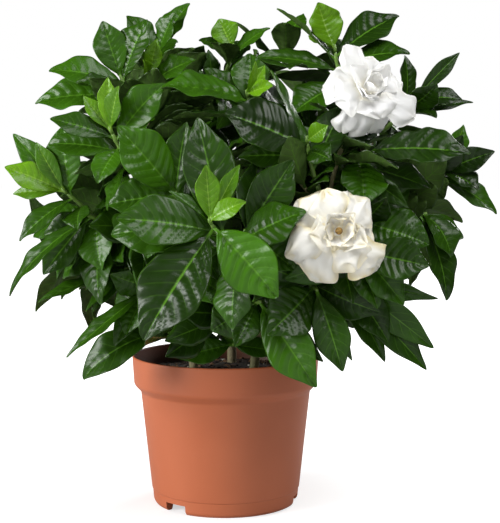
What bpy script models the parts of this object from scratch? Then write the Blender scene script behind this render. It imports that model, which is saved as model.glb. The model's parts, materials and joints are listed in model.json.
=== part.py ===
"""A potted gardenia: a plastic nursery pot filled with potting soil, three woody plants that
stand in holes in the soil, their leafy shoots, and two open double blooms.

The frame is in metres with +Z up, and its origin is the middle of the pot's base, where it stands.
The tables below are in millimetres, and MM turns them into metres. -Y is the side that the blooms
face.
"""

import math
import random

import bmesh
import bpy
from mathutils import Matrix, Vector
from mathutils.bvhtree import BVHTree

MM = 0.001
GAP = 0.3  # between pieces that touch

# ---------------------------------------------------------------- pot and soil
RIM_RADIUS = 65.5
RIM_HEIGHT = 104.0
COLLAR_DEPTH = 20.0
COLLAR_CHAMFER = 5.0
BODY_RADIUS_TOP = 59.6
BODY_RADIUS_FOOT = 51.6
SEAM_HEIGHT = 10.5
FOOT_RADIUS = 49.0
WALL = 1.5
FLOOR_RISE = 6.0
BOSS_RADIUS = 15.0
CHANNEL_RADIUS = 44.0
POT_STEPS = 30
FOOT_NOTCHES = 3
FOOT_NOTCH_FIRST_DEG = 228.5
FOOT_NOTCH_WIDTH = 18.0
FOOT_NOTCH_HEIGHT = 6.4
DRAIN_HOLES = 6
DRAIN_HOLE_RADIUS = 4.0
DRAIN_RING_RADIUS = 30.0

SOIL_TOP = 92.0
SOIL_CROWN = 2.5
SOIL_STEPS = 24
STEM_HOLE_DEPTH = 42.0

# ---------------------------------------------------------------- stems
TRUNK_RADIUS = 3.3
CROWN_RADIUS = 2.5
BRANCH_RADIUS = 1.8
SHOOT_RADIUS = 1.35
TIP_RADIUS = 0.95
CROWN_HEIGHT = 158.0
# Each plant: where it stands in the soil and how far its crown leans from there.
PLANTS = {
    "left": ((-22.0, -8.0), (-10.0, -6.0)),
    "right": ((20.0, -12.0), (14.0, -4.0)),
    "back": ((4.0, 22.0), (2.0, 14.0)),
}

# ---------------------------------------------------------------- leaves
PETIOLE_HALF_WIDTH = 1.05
RIB_THICKNESS = 1.35
YOUNG_RIB_THICKNESS = 1.1
FOLD = 0.2  # rise of the margins over the rib, per half width
PLAIN_FOLD = 0.04
FACE_FRONT = (0.0, -0.75, 0.1)  # how much the near side's leaves turn their faces to the front
FACE_BACK = (0.0, 0.4, 0.0)  # and the far side's to the back
WAVE = 0.09  # rise and fall of the margins, per half width
CLEARANCE = 0.45  # kept round each blade when it is placed
OWN_CLEAR_FROM = 0.2  # the share of a blade from which it keeps clear of its own shoot too
ROOT_SINK = 0.8  # how far a leaf's root lies past the middle of its stem
LARGE_LEAF_WIDTH = 25.0
SMALL_LEAF_WIDTH = 12.5
LEAF_NODES = (3, 5, 10, 13, 18, 21, 27, 30, 37, 39, 47, 49, 58, 60)  # back from a shoot's tip
LOWER_LEAVES = 3  # those that a near shoot with room for them has below its others
RULE_LOWER_LEAVES = 1
LOWEST_LOWER_LEAF = 132.0  # the height that the tips of these stay above
LOWER_LEAF_FORWARD = 4.0  # how far it may come in front of its own root: it stays behind the tip leaves
GREEN_MARGIN = 7.0  # from a shoot's last leaf back to its wood

# ---------------------------------------------------------------- blooms
PETAL_RIB_THICKNESS = 1.15
PETAL_SHARES = (0.1, 0.42, 0.72, 0.93)  # where a petal has its rings
RECEPTACLE_RADIUS = 3.4
RECEPTACLE_DEPTH = 3.2  # from a bloom's middle back to the flat where its stalk ends
RECEPTACLE_RISE = 1.6  # from its middle forward to the flat where its stigma stands
PETAL_ROOT_RADIUS = 2.3
STALK_LENGTH = 26.0
STALK_RADIUS = 1.4
CALYX_RADIUS = 2.7
SEPAL_ROOT_DEPTH = 2.4
STIGMA_LENGTH = 8.5
STIGMA_RADIUS = 2.2

# The outline of a blade: the share of it that is its stalk, how steeply it widens from there, and
# how steeply it narrows to its tip.
LEAF_OUTLINE = (0.07, 0.85, 0.62)
PETAL_OUTLINE = (0.0, 0.62, 0.36)
SEPAL_OUTLINE = (0.0, 0.3, 0.9)


def leaf_shares(width):
    """Where a blade of this width has its rings: the larger it is, the more it has."""
    if width >= LARGE_LEAF_WIDTH:
        return (0.06, 0.3, 0.56, 0.8)
    if width >= SMALL_LEAF_WIDTH:
        return (0.08, 0.42, 0.75)
    return (0.12, 0.5)


def leaf(x, y, z, width, arch=38, roll=0, young=False):
    """One leaf of a shoot: its tip lies at (x, y, z) from the shoot's tip. Arch and roll in degrees."""
    return {
        "reach": (x, y, z),
        "width": width,
        "arch": arch,
        "roll": roll,
        "young": young,
        "fold": FOLD,
        "outline": LEAF_OUTLINE,
        "ribbed": True,
        "rib": YOUNG_RIB_THICKNESS if young else RIB_THICKNESS,
        "shares": leaf_shares(width),
    }


def plain_leaf(reach, width, arch):
    """One leaf of the rules: its face is flat across."""
    made = leaf(*reach, width, arch)
    made.update(fold=PLAIN_FOLD, ribbed=False)
    return made


def sepal(x, y, z):
    """One narrow lobe of a calyx: its tip lies at (x, y, z) from the bloom's middle."""
    made = leaf(x, y, z, 5, 24)
    made.update(outline=SEPAL_OUTLINE, shares=(0.14, 0.6))
    return made


def petal(x, y, z, width, arch, fold):
    """One petal: its tip lies at (x, y, z) from the bloom's middle. A negative arch curves it inwards."""
    made = leaf(x, y, z, width, arch)
    made.update(
        fold=fold, outline=PETAL_OUTLINE, rib=PETAL_RIB_THICKNESS, shares=PETAL_SHARES
    )
    return made


# Each shoot: its plant, its tip, the way it points, and its leaves.
SHOOTS = {
    "centre": (
        "right",
        (-5, -148, 202),
        (0.0, -0.75, 0.62),
        [
            leaf(38, -8, -42, 31, 30, 26),
            leaf(-39, -10, -66, 39, 30, 10),
            leaf(-57, -2, 0, 31, 34),
            leaf(-64, 8, -4, 34, 46),
            leaf(-9, 26, 62, 29, 24),
            leaf(-15, -8, 8, 11, 20),
            leaf(-3, -6, 34, 14, -18, 0, True),
            leaf(15, 0, 36, 10, 24, 0, True),
            leaf(20, -10, 13, 12, 60, 0, True),
        ],
    ),
    "centre_right": (
        "right",
        (14, -118, 197),
        (0.35, -0.7, 0.6),
        [
            leaf(29, -2, 42, 25, 30),
            leaf(30, 0, -24, 26),
            leaf(8, 10, 44, 22, 30),
            leaf(-6, 0, -34, 22),
        ],
    ),
    "left_middle": (
        "left",
        (-27, -116, 220),
        (-0.3, -0.75, 0.6),
        [
            leaf(-34, -12, 39, 29, 34, 14),
            leaf(-42, 4, -8, 24),
            leaf(6, 6, 42, 20, 30),
            leaf(-18, -2, -40, 24),
        ],
    ),
    "left_rosette": (
        "left",
        (-67, -100, 255),
        (-0.3, -0.5, 0.8),
        [
            leaf(-37, -8, 21, 18, 46),
            leaf(33, -8, 30, 23, 30, 20),
            leaf(-8, -12, -30, 18),
            leaf(-42, 14, -6, 20),
            leaf(-15, -4, 26, 10, 14, 0, True),
            leaf(-2, -6, 34, 13, 16, 0, True),
            leaf(7, -12, 30, 13, 20, 0, True),
        ],
    ),
    "left_glossy": (
        "left",
        (-99, -74, 218),
        (-0.55, -0.5, 0.6),
        [
            leaf(-2, -6, 43, 26, 26),
            leaf(-30, -6, -30, 15, 40),
            leaf(-38, 10, 38, 16, 50),
            leaf(8, -14, -22, 18),
            leaf(-39, -4, 17, 17, 26, 0, True),
            leaf(-24, 2, 31, 13, 20, 0, True),
            leaf(-38, 6, 6, 12, 30, 0, True),
        ],
    ),
    "left_low": (
        "left",
        (-86, -82, 205),
        (-0.6, -0.6, 0.2),
        [
            leaf(-46, -6, -27, 26, 44, -10),
            leaf(-50, 2, -52, 16, 70, 30),
            leaf(2, -14, -32, 24, 50),
            leaf(-30, 16, -14, 20),
        ],
    ),
    "low_left": (
        "left",
        (-64, -62, 170),
        (-0.75, -0.45, 0.1),
        [
            leaf(-56, -6, -22, 15, 24, 40),
            leaf(-30, -12, -24, 10, 50, 20),
            leaf(-20, -16, -26, 9, 40, -20),
            leaf(-26, 14, 6, 20),
        ],
    ),
    "low_left_front": (
        "left",
        (-50, -74, 156),
        (-0.5, -0.7, -0.05),
        [
            leaf(-50, -8, -42, 14, 30, 40),
            leaf(-8, -14, -24, 19),
            leaf(-20, 0, -36, 15, 50),
            leaf(-20, -14, 12, 20),
        ],
    ),
    "rim_left": (
        "left",
        (-40, -62, 128),
        (-0.75, -0.5, 0.25),
        [
            leaf(-50, -14, -30, 25, 112),
            leaf(-18, -20, 18, 20),
            leaf(-30, 22, 8, 18),
        ],
    ),
    "upper_left": (
        "left",
        (-68, -48, 295),
        (-0.45, -0.3, 0.8),
        [
            leaf(-11, 2, 35, 21, 20, 12),
            leaf(19, -4, 36, 26, 26),
            leaf(-45, -8, 2, 23, 50),
            leaf(-27, -20, -9, 16),
            leaf(-57, 8, -18, 25, 40),
            leaf(-30, 24, 8, 20),
        ],
    ),
    "upper_left_inner": (
        "left",
        (-49, -48, 290),
        (0.0, -0.4, 0.9),
        [
            leaf(31, -8, 14, 18, 44),
            leaf(-6, -22, -4, 14),
            leaf(22, 14, 10, 18),
            leaf(2, -3, 29, 12, 8, 0, True),
            leaf(-7, -6, 16, 8, 10, 0, True),
        ],
    ),
    "top_left": (
        "left",
        (-46, -4, 317),
        (0.0, -0.1, 1.0),
        [
            leaf(22, -2, 30, 18, 30),
            leaf(14, -12, 22, 20, 20),
            leaf(-19, 6, 22, 18),
            leaf(2, 34, 12, 22),
            leaf(-34, 4, -6, 20),
        ],
    ),
    "top_middle": (
        "back",
        (5, -12, 314),
        (0.0, -0.1, 1.0),
        [
            leaf(-23, 6, 8, 13, 40),
            leaf(26, 4, 16, 12),
            leaf(-8, -28, 2, 20),
            leaf(6, 34, 10, 20),
            leaf(-1, -2, 23, 19, 8, 0, True),
        ],
    ),
    "top_right": (
        "right",
        (74, -32, 311),
        (0.1, -0.15, 1.0),
        [
            leaf(43, 6, 25, 27, 34),
            leaf(-39, -2, 29, 15, 20, 40),
            leaf(48, -14, -2, 24, 40),
            leaf(-53, -8, -4, 19, 30),
            leaf(8, 34, 12, 22),
            leaf(-30, -14, -42, 26, 30),
            leaf(-8, -4, 34, 25, -14, 0, True),
            leaf(-22, 8, 22, 14, 20, 0, True),
        ],
    ),
    "middle_rosette": (
        "right",
        (16, -98, 277),
        (0.05, -0.5, 0.85),
        [
            leaf(-56, -12, 3, 31, 44, 22),
            leaf(-1, 4, 32, 25, 26),
            leaf(-22, 10, 24, 18),
            leaf(-46, -4, -12, 20, 24, 50),
            leaf(3, -5, 20, 9, 6, 0, True),
            leaf(15, -8, 7, 13, 20, 0, True),
            leaf(-9, -4, 13, 6, 4, 0, True),
        ],
    ),
    "middle_right": (
        "right",
        (52, -108, 249),
        (0.1, -0.75, 0.6),
        [
            leaf(-50, -10, 18, 35, 24, 8),
            leaf(14, -12, -8, 17),
            leaf(-42, 0, -8, 18),
            leaf(-27, 6, 48, 16, 16, 50),
            leaf(26, 4, 24, 22),
            leaf(11, -9, 15, 12, 20, 0, True),
        ],
    ),
    "bloom_side": (
        "right",
        (90, -96, 247),
        (0.3, -0.6, 0.6),
        [
            leaf(60, -18, -4, 29, 34, -14),
            leaf(-32, -14, 8, 18),
            leaf(-5, -24, -36, 28, 44),
            leaf(39, -14, -26, 22, 30, -12),
            leaf(24, -20, -34, 13, 30, 40),
            leaf(-42, 2, 30, 24, 30),
            leaf(-24, -14, -24, 22, 40),
        ],
    ),
    "right_upper": (
        "right",
        (128, -42, 282),
        (0.6, -0.2, 0.75),
        [
            leaf(27, 0, 28, 10, 40),
            leaf(27, -6, 4, 15),
            leaf(7, -14, 14, 21),
            leaf(-8, 8, 27, 13),
            leaf(10, -16, -14, 19),
            leaf(38, 8, -4, 10),
        ],
    ),
    "right_outer": (
        "right",
        (146, -44, 234),
        (0.8, -0.3, 0.45),
        [
            leaf(20, -14, -14, 20),
            leaf(32, 0, 10, 16),
            leaf(34, -4, -30, 18, 46),
            leaf(14, -10, 20, 19),
            leaf(12, 26, 8, 20),
            leaf(13, 6, 29, 14, 20, 0, True),
            leaf(-8, -12, 4, 9, 20, 0, True),
        ],
    ),
    "right_droop": (
        "right",
        (132, -62, 205),
        (0.75, -0.45, 0.1),
        [
            leaf(14, -10, -28, 21, 80),
            leaf(12, -8, -56, 22, 44),
            leaf(-10, -16, -18, 20),
            leaf(30, 10, -16, 18),
        ],
    ),
    "right_inner": (
        "right",
        (88, -104, 202),
        (0.5, -0.75, 0.15),
        [
            leaf(38, -8, -14, 30, 34, -10),
            leaf(10, -16, 22, 20),
            leaf(28, 10, 20, 20),
        ],
    ),
    "bloom_low_side": (
        "right",
        (84, -118, 184),
        (0.4, -0.8, 0.0),
        [
            leaf(40, -8, -8, 26, 30, -12),
            leaf(26, -2, -32, 20),
            leaf(10, -4, -34, 20),
        ],
    ),
    "low_right": (
        "right",
        (76, -98, 166),
        (0.5, -0.6, -0.1),
        [
            leaf(26, -10, -38, 22),
            leaf(56, 2, -44, 18, 24, 20),
            leaf(52, 4, -58, 19, 30),
            leaf(26, 4, -54, 16),
            leaf(60, 12, -14, 13, 30, 30),
        ],
    ),
    "low_front_right": (
        "right",
        (58, -112, 160),
        (0.2, -0.75, -0.1),
        [
            leaf(15, -12, -48, 21, 30, 10),
            leaf(22, 4, -44, 10, 30, 30),
            leaf(-30, -16, -26, 30, 34, 10),
        ],
    ),
    "low_front": (
        "left",
        (24, -104, 152),
        (0.0, -0.8, 0.0),
        [
            leaf(36, -24, -48, 28, 40, 10),
            leaf(38, -8, -36, 14, 30),
            leaf(-16, -14, -26, 18),
            leaf(-30, -2, 2, 20),
        ],
    ),
    "soil_front": (
        "left",
        (8, -50, 118),
        (0.3, -0.7, 0.5),
        [
            leaf(-38, -10, -8, 17, 40),
            leaf(22, -14, -2, 16),
            leaf(-28, -2, 12, 14),
            leaf(12, -14, 18, 14),
        ],
    ),
}

# The shoots of the far side and the flanks follow a rule: they stand on an ellipsoid round
# CANOPY_CENTRE, a golden angle apart, and each carries pairs of leaves at right angles.
CANOPY_CENTRE = (10.0, 4.0, 205.0)
CANOPY_RADII = (118.0, 108.0, 100.0)
FAR_SHOOTS = 10
FAR_LOWEST = -0.42
FAR_HIGHEST = 0.94
FAR_FIRST_DEG = -10.0
FAR_LAST_DEG = 190.0
RULE_LEAVES = 7
FAR_PLANT_SPLIT = 62.0  # X beyond which a far shoot grows from the left or right plant


# Those that the rule hangs in the middle, at the top and on the left flank: plant, tip, heading.
INNER_SHOOTS = [
    ("back", (44, -10, 312), (0.05, -0.15, 1.0)),
    ("right", (58, -36, 258), (0.2, -0.6, 0.8)),
    ("left", (-44, -34, 246), (-0.2, -0.6, 0.8)),
    ("left", (-84, 0, 190), (-0.9, 0.0, 0.3)),
]


def paired_leaves(heading, rng):
    """Leaves in pairs, each pair at right angles to the last and leaning out further than it."""
    across = heading.orthogonal().normalized()
    first = rng.uniform(0, 90)
    leaves = []
    for k in range(RULE_LEAVES):
        pair, side = divmod(k, 2)
        clock = math.radians(first + 90 * pair + 180 * side + rng.uniform(-14, 14))
        splay = math.radians((48, 74, 92, 104)[pair] + rng.uniform(-10, 10))
        length = (38, 50, 58, 54)[pair] * rng.uniform(0.88, 1.15)
        out = Matrix.Rotation(clock, 3, heading) @ across
        reach = (heading * math.cos(splay) + out * math.sin(splay)) * length
        reach.z -= 5
        width = length * rng.uniform(0.42, 0.5)
        leaves.append(plain_leaf(reach, width, rng.uniform(24, 56)))
    return leaves


def rule_shoots():
    """The shoots that the rule gives, in the form of SHOOTS."""
    rng = random.Random(41)
    golden = (math.sqrt(5) - 1) / 2
    made = {}
    for i, (plant, tip, heading) in enumerate(INNER_SHOOTS):
        heading = Vector(heading).normalized()
        made[f"inner_{i + 1}"] = (plant, tip, tuple(heading), paired_leaves(heading, rng))
    for i in range(FAR_SHOOTS):
        share = (i + 0.5) / FAR_SHOOTS
        height = FAR_LOWEST + (FAR_HIGHEST - FAR_LOWEST) * share
        turn = FAR_FIRST_DEG + (FAR_LAST_DEG - FAR_FIRST_DEG) * ((i * golden + 0.31) % 1)
        angle = math.radians(turn)
        flat = math.sqrt(1 - height**2)
        way = Vector((math.cos(angle) * flat, math.sin(angle) * flat, height))
        tip = [c + r * w for c, r, w in zip(CANOPY_CENTRE, CANOPY_RADII, way)]
        heading = (way + Vector((0, 0, 0.45))).normalized()
        if tip[0] < -FAR_PLANT_SPLIT:
            plant = "left"
        elif tip[0] > FAR_PLANT_SPLIT:
            plant = "right"
        else:
            plant = "back"
        leaves = paired_leaves(heading, rng)
        made[f"far_{i + 1:02d}"] = (plant, tuple(tip), tuple(heading), leaves)
    return made


# Each bloom: its plant, its middle, the way it faces, and its petals, the inmost first.
BLOOMS = {
    "bloom_upper": {
        "plant": "right",
        "centre": (88.5, -104, 281),
        "facing": (0.3, -0.85, 0.4),
        "stigma": False,
        "petals": [
            petal(-3, -14, -4, 15, -40, 0.5),
            petal(10, -13, 3, 15, -50, 0.5),
            petal(-6, -10, 15, 13, -30, 0.45),
            petal(4, -12, 11, 13, -40, 0.45),
            petal(8, -9, -16, 26, 40, 0.15),
            petal(12, -4, 15, 22, 20, 0.25),
            petal(-16, -11, -6, 23, 30, 0.1),
            petal(-12, -2, -29, 21, 30, 0.12),
            petal(-14, -2, 27, 18, 20, 0.2),
            petal(31, -5, 0, 21, 50, -0.2),
            petal(-28, -4, 6, 27, 40, 0.1),
            petal(20, -2, -15, 19, 40, -0.1),
            petal(24, 0, 13, 21, 50, -0.15),
            petal(3, 4, 24, 22, 40, -0.1),
        ],
        "sepals": [sepal(-19, 3, 25), sepal(20, 10, 8), sepal(4, 12, -16)],
    },
    "bloom_lower": {
        "plant": "right",
        "centre": (68.5, -136, 197),
        "facing": (0.04, -0.99, 0.1),
        "stigma": True,
        "petals": [
            petal(-6, -12, 7, 15, -50, 0.4),
            petal(7, -12, 7, 15, -50, 0.4),
            petal(1, -12, -7, 15, -50, 0.4),
            petal(13, -11, -5, 17, -40, 0.35),
            petal(-13, -8, -2, 20, -20, 0.3),
            petal(11, -9, -19, 22, 30, -0.1),
            petal(-9, -7, 23, 22, 30, 0.1),
            petal(17, -3, 18, 20, 50, -0.1),
            petal(-13, -6, -32, 25, 50, -0.12),
            petal(23, -2, 3, 25, 60, -0.15),
            petal(5, 0, 26, 22, 50, -0.1),
            petal(-33, 0, -11, 20, 60, -0.2),
            petal(-22, 0, 23, 27, 40, -0.1),
            petal(24, 2, -26, 25, 60, -0.15),
            petal(-25, 4, -21, 20, 60, -0.2),
            petal(-1, 3, -34, 24, 60, -0.15),
            petal(-28, 8, 15, 19, 50, -0.15),
            petal(23, 8, -8, 20, 50, -0.15),
        ],
        "sepals": [sepal(-14, 12, -10), sepal(12, 12, 12)],
    },
}


# ================================================================ geometry helpers
def beta_width(x, outline):
    """Half width of a blade at a share x of its length, as a share of its greatest."""
    _, rise, fall = outline
    peak = rise / (rise + fall)
    return (x / peak) ** rise * ((1 - x) / (1 - peak)) ** fall


class Blade:
    """A leaf blade on an arc from root to tip, in millimetres."""

    def __init__(self, root, tip, up, spec, bend, shrink, phase):
        chord = tip - root
        self.root = root
        self.along = chord.normalized()
        self.normal = (up - self.along * up.dot(self.along)).normalized()
        self.side = self.along.cross(self.normal)
        self.half = math.radians(spec["arch"] + bend) / 2
        if abs(self.half) < 0.02:
            self.half = 0.02
        self.length = chord.length * self.half / math.sin(self.half)
        self.width = spec["width"] * shrink
        self.fold = spec["fold"]
        self.outline = spec["outline"]
        self.roll = math.radians(spec["roll"])
        self.phase = phase
        self.rib = spec["rib"]
        self.shares = spec["shares"]
        self.ribbed = spec["ribbed"]

    def station(self, u):
        """Point, side and normal of the blade at a share u of its length."""
        angle = self.half * (1 - 2 * u)
        run = (math.sin(self.half) - math.sin(angle)) / (2 * self.half)
        rise = (math.cos(angle) - math.cos(self.half)) / (2 * self.half)
        point = self.root + (self.along * run + self.normal * rise) * self.length
        tangent = self.along * math.cos(angle) + self.normal * math.sin(angle)
        normal = self.normal * math.cos(angle) - self.along * math.sin(angle)
        turn = Matrix.Rotation(self.roll * min(1, 2 * u), 3, tangent)
        return point, turn @ self.side, turn @ normal

    def half_width(self, u):
        stalk = self.outline[0]
        if u <= stalk:
            return PETIOLE_HALF_WIDTH
        x = (u - stalk) / (1 - stalk)
        return max(PETIOLE_HALF_WIDTH * (1 - x), self.width / 2 * beta_width(x, self.outline))

    def margin_rise(self, u, side):
        """How far a margin stands over the rib: the fold of the blade and its waves."""
        half = self.half_width(u)
        wave = math.sin(2 * math.pi * 1.8 * u + self.phase + 1.4 * side)
        return half * (self.fold + WAVE * wave)

    def solid(self, grow=0.0, start=0.0):
        """Vertices and faces of the closed blade: its rings from the share start on, root and tip."""
        shares = [share for share in self.shares if share > start]
        if start:
            shares = [start, *shares]
        points, faces = [], []
        for u in shares:
            centre, side, normal = self.station(u)
            half = self.half_width(u) + grow
            left = centre - side * half + normal * self.margin_rise(u, -1)
            right = centre + side * half + normal * self.margin_rise(u, 1)
            under = centre - normal * (self.rib * (1 - 0.45 * u) + grow)
            if self.ribbed:
                points += [left, centre + normal * grow, right, under]
            else:
                points += [left, right, under]
        ring = len(points) // len(shares)
        # the fold of each strip runs from a margin here to the middle beyond it, alike on both faces
        back_folds = (1, 3) if self.ribbed else (1, 2)
        for i in range(len(shares) - 1):
            a, b = ring * i, ring * i + ring
            for k in range(ring):
                m = (k + 1) % ring
                if k in back_folds:
                    faces += [(a + k, b + k, a + m), (b + k, b + m, a + m)]
                else:
                    faces += [(a + k, b + k, b + m), (a + k, b + m, a + m)]
        first, end = len(points), len(points) + 1
        along = (self.station(0.05)[0] - self.root).normalized()
        points.append(self.station(max(0.0, shares[0] - 0.08))[0] - along * ROOT_SINK)
        points.append(self.station(1.0)[0])
        last = ring * (len(shares) - 1)
        for k in range(ring):
            m = (k + 1) % ring
            faces += [(k, m, first), (last + m, last + k, end)]
        return points, faces


class Path:
    """A stem's centre line: points in millimetres, measured back from its tip."""

    def __init__(self, points):
        self.points = points
        self.back = [0.0] * len(points)
        for i in range(len(points) - 2, -1, -1):
            self.back[i] = self.back[i + 1] + (points[i + 1] - points[i]).length
        self.length = self.back[0]

    def at(self, back):
        """The point that far back from the tip, and the way the stem runs there."""
        back = min(max(back, 0.0), self.length)
        for i in range(len(self.points) - 1):
            if self.back[i] >= back >= self.back[i + 1]:
                step = self.points[i + 1] - self.points[i]
                share = (self.back[i] - back) / step.length
                return self.points[i] + step * share, step.normalized()
        step = self.points[-1] - self.points[-2]
        return self.points[-1].copy(), step.normalized()

    def stretch(self, start, end, count):
        """Points from start back from the tip to end back from it."""
        steps = [start + (end - start) * i / (count - 1) for i in range(count)]
        return [self.at(back)[0] for back in steps]


def bezier(points, count):
    a, b, c, d = points
    made = []
    for i in range(count):
        t = i / (count - 1)
        s = 1 - t
        made.append(a * s**3 + b * 3 * s * s * t + c * 3 * s * t * t + d * t**3)
    return made


def trunk_point(plant, height):
    """A point on a plant's trunk at this height over the pot's base."""
    (x, y), (lean_x, lean_y) = PLANTS[plant]
    share = max(0.0, (height - SOIL_TOP) / (CROWN_HEIGHT - SOIL_TOP))
    return Vector((x + lean_x * share**1.6, y + lean_y * share**1.6, height))


def tube_faces(path_points, radii, sides):
    """Vertices and faces of a plain tube, for the test of what a leaf would cross."""
    points, faces = [], []
    for i, point in enumerate(path_points):
        before = path_points[max(i - 1, 0)]
        after = path_points[min(i + 1, len(path_points) - 1)]
        way = (after - before).normalized()
        across = way.orthogonal().normalized()
        for k in range(sides):
            turn = Matrix.Rotation(2 * math.pi * k / sides, 3, way)
            points.append(point + turn @ across * radii[i])
    for i in range(len(path_points) - 1):
        for k in range(sides):
            a, m = i * sides + k, i * sides + (k + 1) % sides
            faces += [(a, m, m + sides), (a, m + sides, a + sides)]
    return points, faces


# ================================================================ placing the leaves
class Space:
    """What is already placed, so that a new leaf can be bent clear of it."""

    def __init__(self):
        self.things = []

    def add(self, owner, points, faces):
        centre = sum(points, Vector()) / len(points)
        radius = max((p - centre).length for p in points)
        self.things.append((owner, centre, radius, BVHTree.FromPolygons(points, faces)))

    def crosses(self, points, faces, skip=None, only=None):
        centre = sum(points, Vector()) / len(points)
        radius = max((p - centre).length for p in points)
        tree = None
        for owner, middle, reach, other in self.things:
            if owner == skip or (only is not None and owner != only):
                continue
            if (middle - centre).length > radius + reach:
                continue
            if tree is None:
                tree = BVHTree.FromPolygons(points, faces)
            if tree.overlap(other):
                return True
        return False


def nudges(rng):
    """Small changes to a leaf, the smallest first: along its face, sideways, arch, and length."""
    yield 0.0, 0.0, 0.0, 1.0
    for size in range(1, 15):
        for _ in range(6):
            lift = rng.uniform(-2.2, 2.2) * size
            slide = rng.uniform(-1.6, 1.6) * size
            bend = rng.uniform(-3.5, 3.5) * size
            yield lift, slide, bend, 1 - 0.022 * size * rng.random()


def place_blade(space, owner, root, heading, spec, wanted, rng):
    """The blade for one leaf or petal, bent clear of what stands already, or None if it can't be."""
    phase = rng.uniform(0, 2 * math.pi)
    own_second_choice = None
    for lift, slide, bend, shrink in nudges(rng):
        chord = wanted - root
        face = heading - chord.normalized() * heading.dot(chord.normalized())
        face = face.normalized() if face.length > 1e-3 else chord.orthogonal().normalized()
        side = chord.normalized().cross(face)
        end = root + (chord + face * lift + side * slide) * shrink
        blade = Blade(root, end, face, spec, bend, shrink, phase)
        if space.crosses(*blade.solid(CLEARANCE), skip=owner):
            continue
        if space.crosses(*blade.solid(CLEARANCE, OWN_CLEAR_FROM), only=owner):
            own_second_choice = own_second_choice or blade
            continue
        return blade
    return own_second_choice


def grips_along(path, last_back, radius, end_radius):
    """Places on a branch where another may grow from: point, direction and thickness there."""
    made = []
    for i in range(2, 9):
        back = path.length + (last_back - path.length) * i / 9
        point, way = path.at(back)
        made.append((point, way, radius + (end_radius - radius) * i / 9))
    return made


def grow_branch(space, name, plant, grips, tip, heading, green):
    """The clearest short branch from a plant's wood to a tip: its path and its thickness at the foot."""
    options = []
    for point, way, thick in grips:
        reach = (tip - point).length
        if reach < green + 14:
            continue
        straight = (tip - point).normalized()
        cost = reach * (1 + 0.55 * (1 - way.dot(straight))) + 0.1 * abs(point.z - tip.z)
        options.append((cost, point, way, thick, straight, reach))
    options.sort(key=lambda option: option[0])
    best = None
    for _, point, way, thick, straight, reach in options:
        leave = (way * 0.55 + straight * 0.75).normalized()
        arrive = (heading * 0.8 + straight * 0.4).normalized()
        knots = [point, point + leave * reach * 0.3, tip - arrive * reach * 0.3, tip]
        path = Path(bezier(knots, 17))
        foot = max(SHOOT_RADIUS, min(BRANCH_RADIUS, 0.85 * thick))
        best = best or (path, foot)
        wood = path.stretch(path.length - 5, green - 1, 9)
        stem = path.stretch(green - 2, 0, 7)
        wood_test = tube_faces(wood, [BRANCH_RADIUS + CLEARANCE] * 9, 6)
        stem_test = tube_faces(stem, [SHOOT_RADIUS + CLEARANCE] * 7, 6)
        if space.crosses(*wood_test, skip=f"wood_{plant}"):
            continue
        if space.crosses(*stem_test, skip=f"stalk_{name}"):
            continue
        return path, foot
    print("no clear branch for", name)
    return best


def bloom_base(bloom):
    """The middle of the flat behind a bloom, where its stalk ends, and the way it faces."""
    axis = Vector(bloom["facing"]).normalized()
    return Vector(bloom["centre"]) - axis * (RECEPTACLE_DEPTH + GAP), axis


def bud_line(path):
    """The short stem of a shoot's young leaves, which stands on the shoot's tip."""
    tip, way = path.at(0)
    return [tip + way * (GAP + s) for s in (0, 2.5, 5.0)], [1.1, 1.2, 0.7]


def stigma_line(bloom):
    axis = Vector(bloom["facing"]).normalized()
    foot = Vector(bloom["centre"]) + axis * (RECEPTACLE_RISE + GAP)
    points = [foot + axis * STIGMA_LENGTH * share for share in (0, 0.3, 0.7, 0.92, 1)]
    radii = [STIGMA_RADIUS * share for share in (0.5, 0.5, 1, 0.85, 0.4)]
    return points, radii


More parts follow.
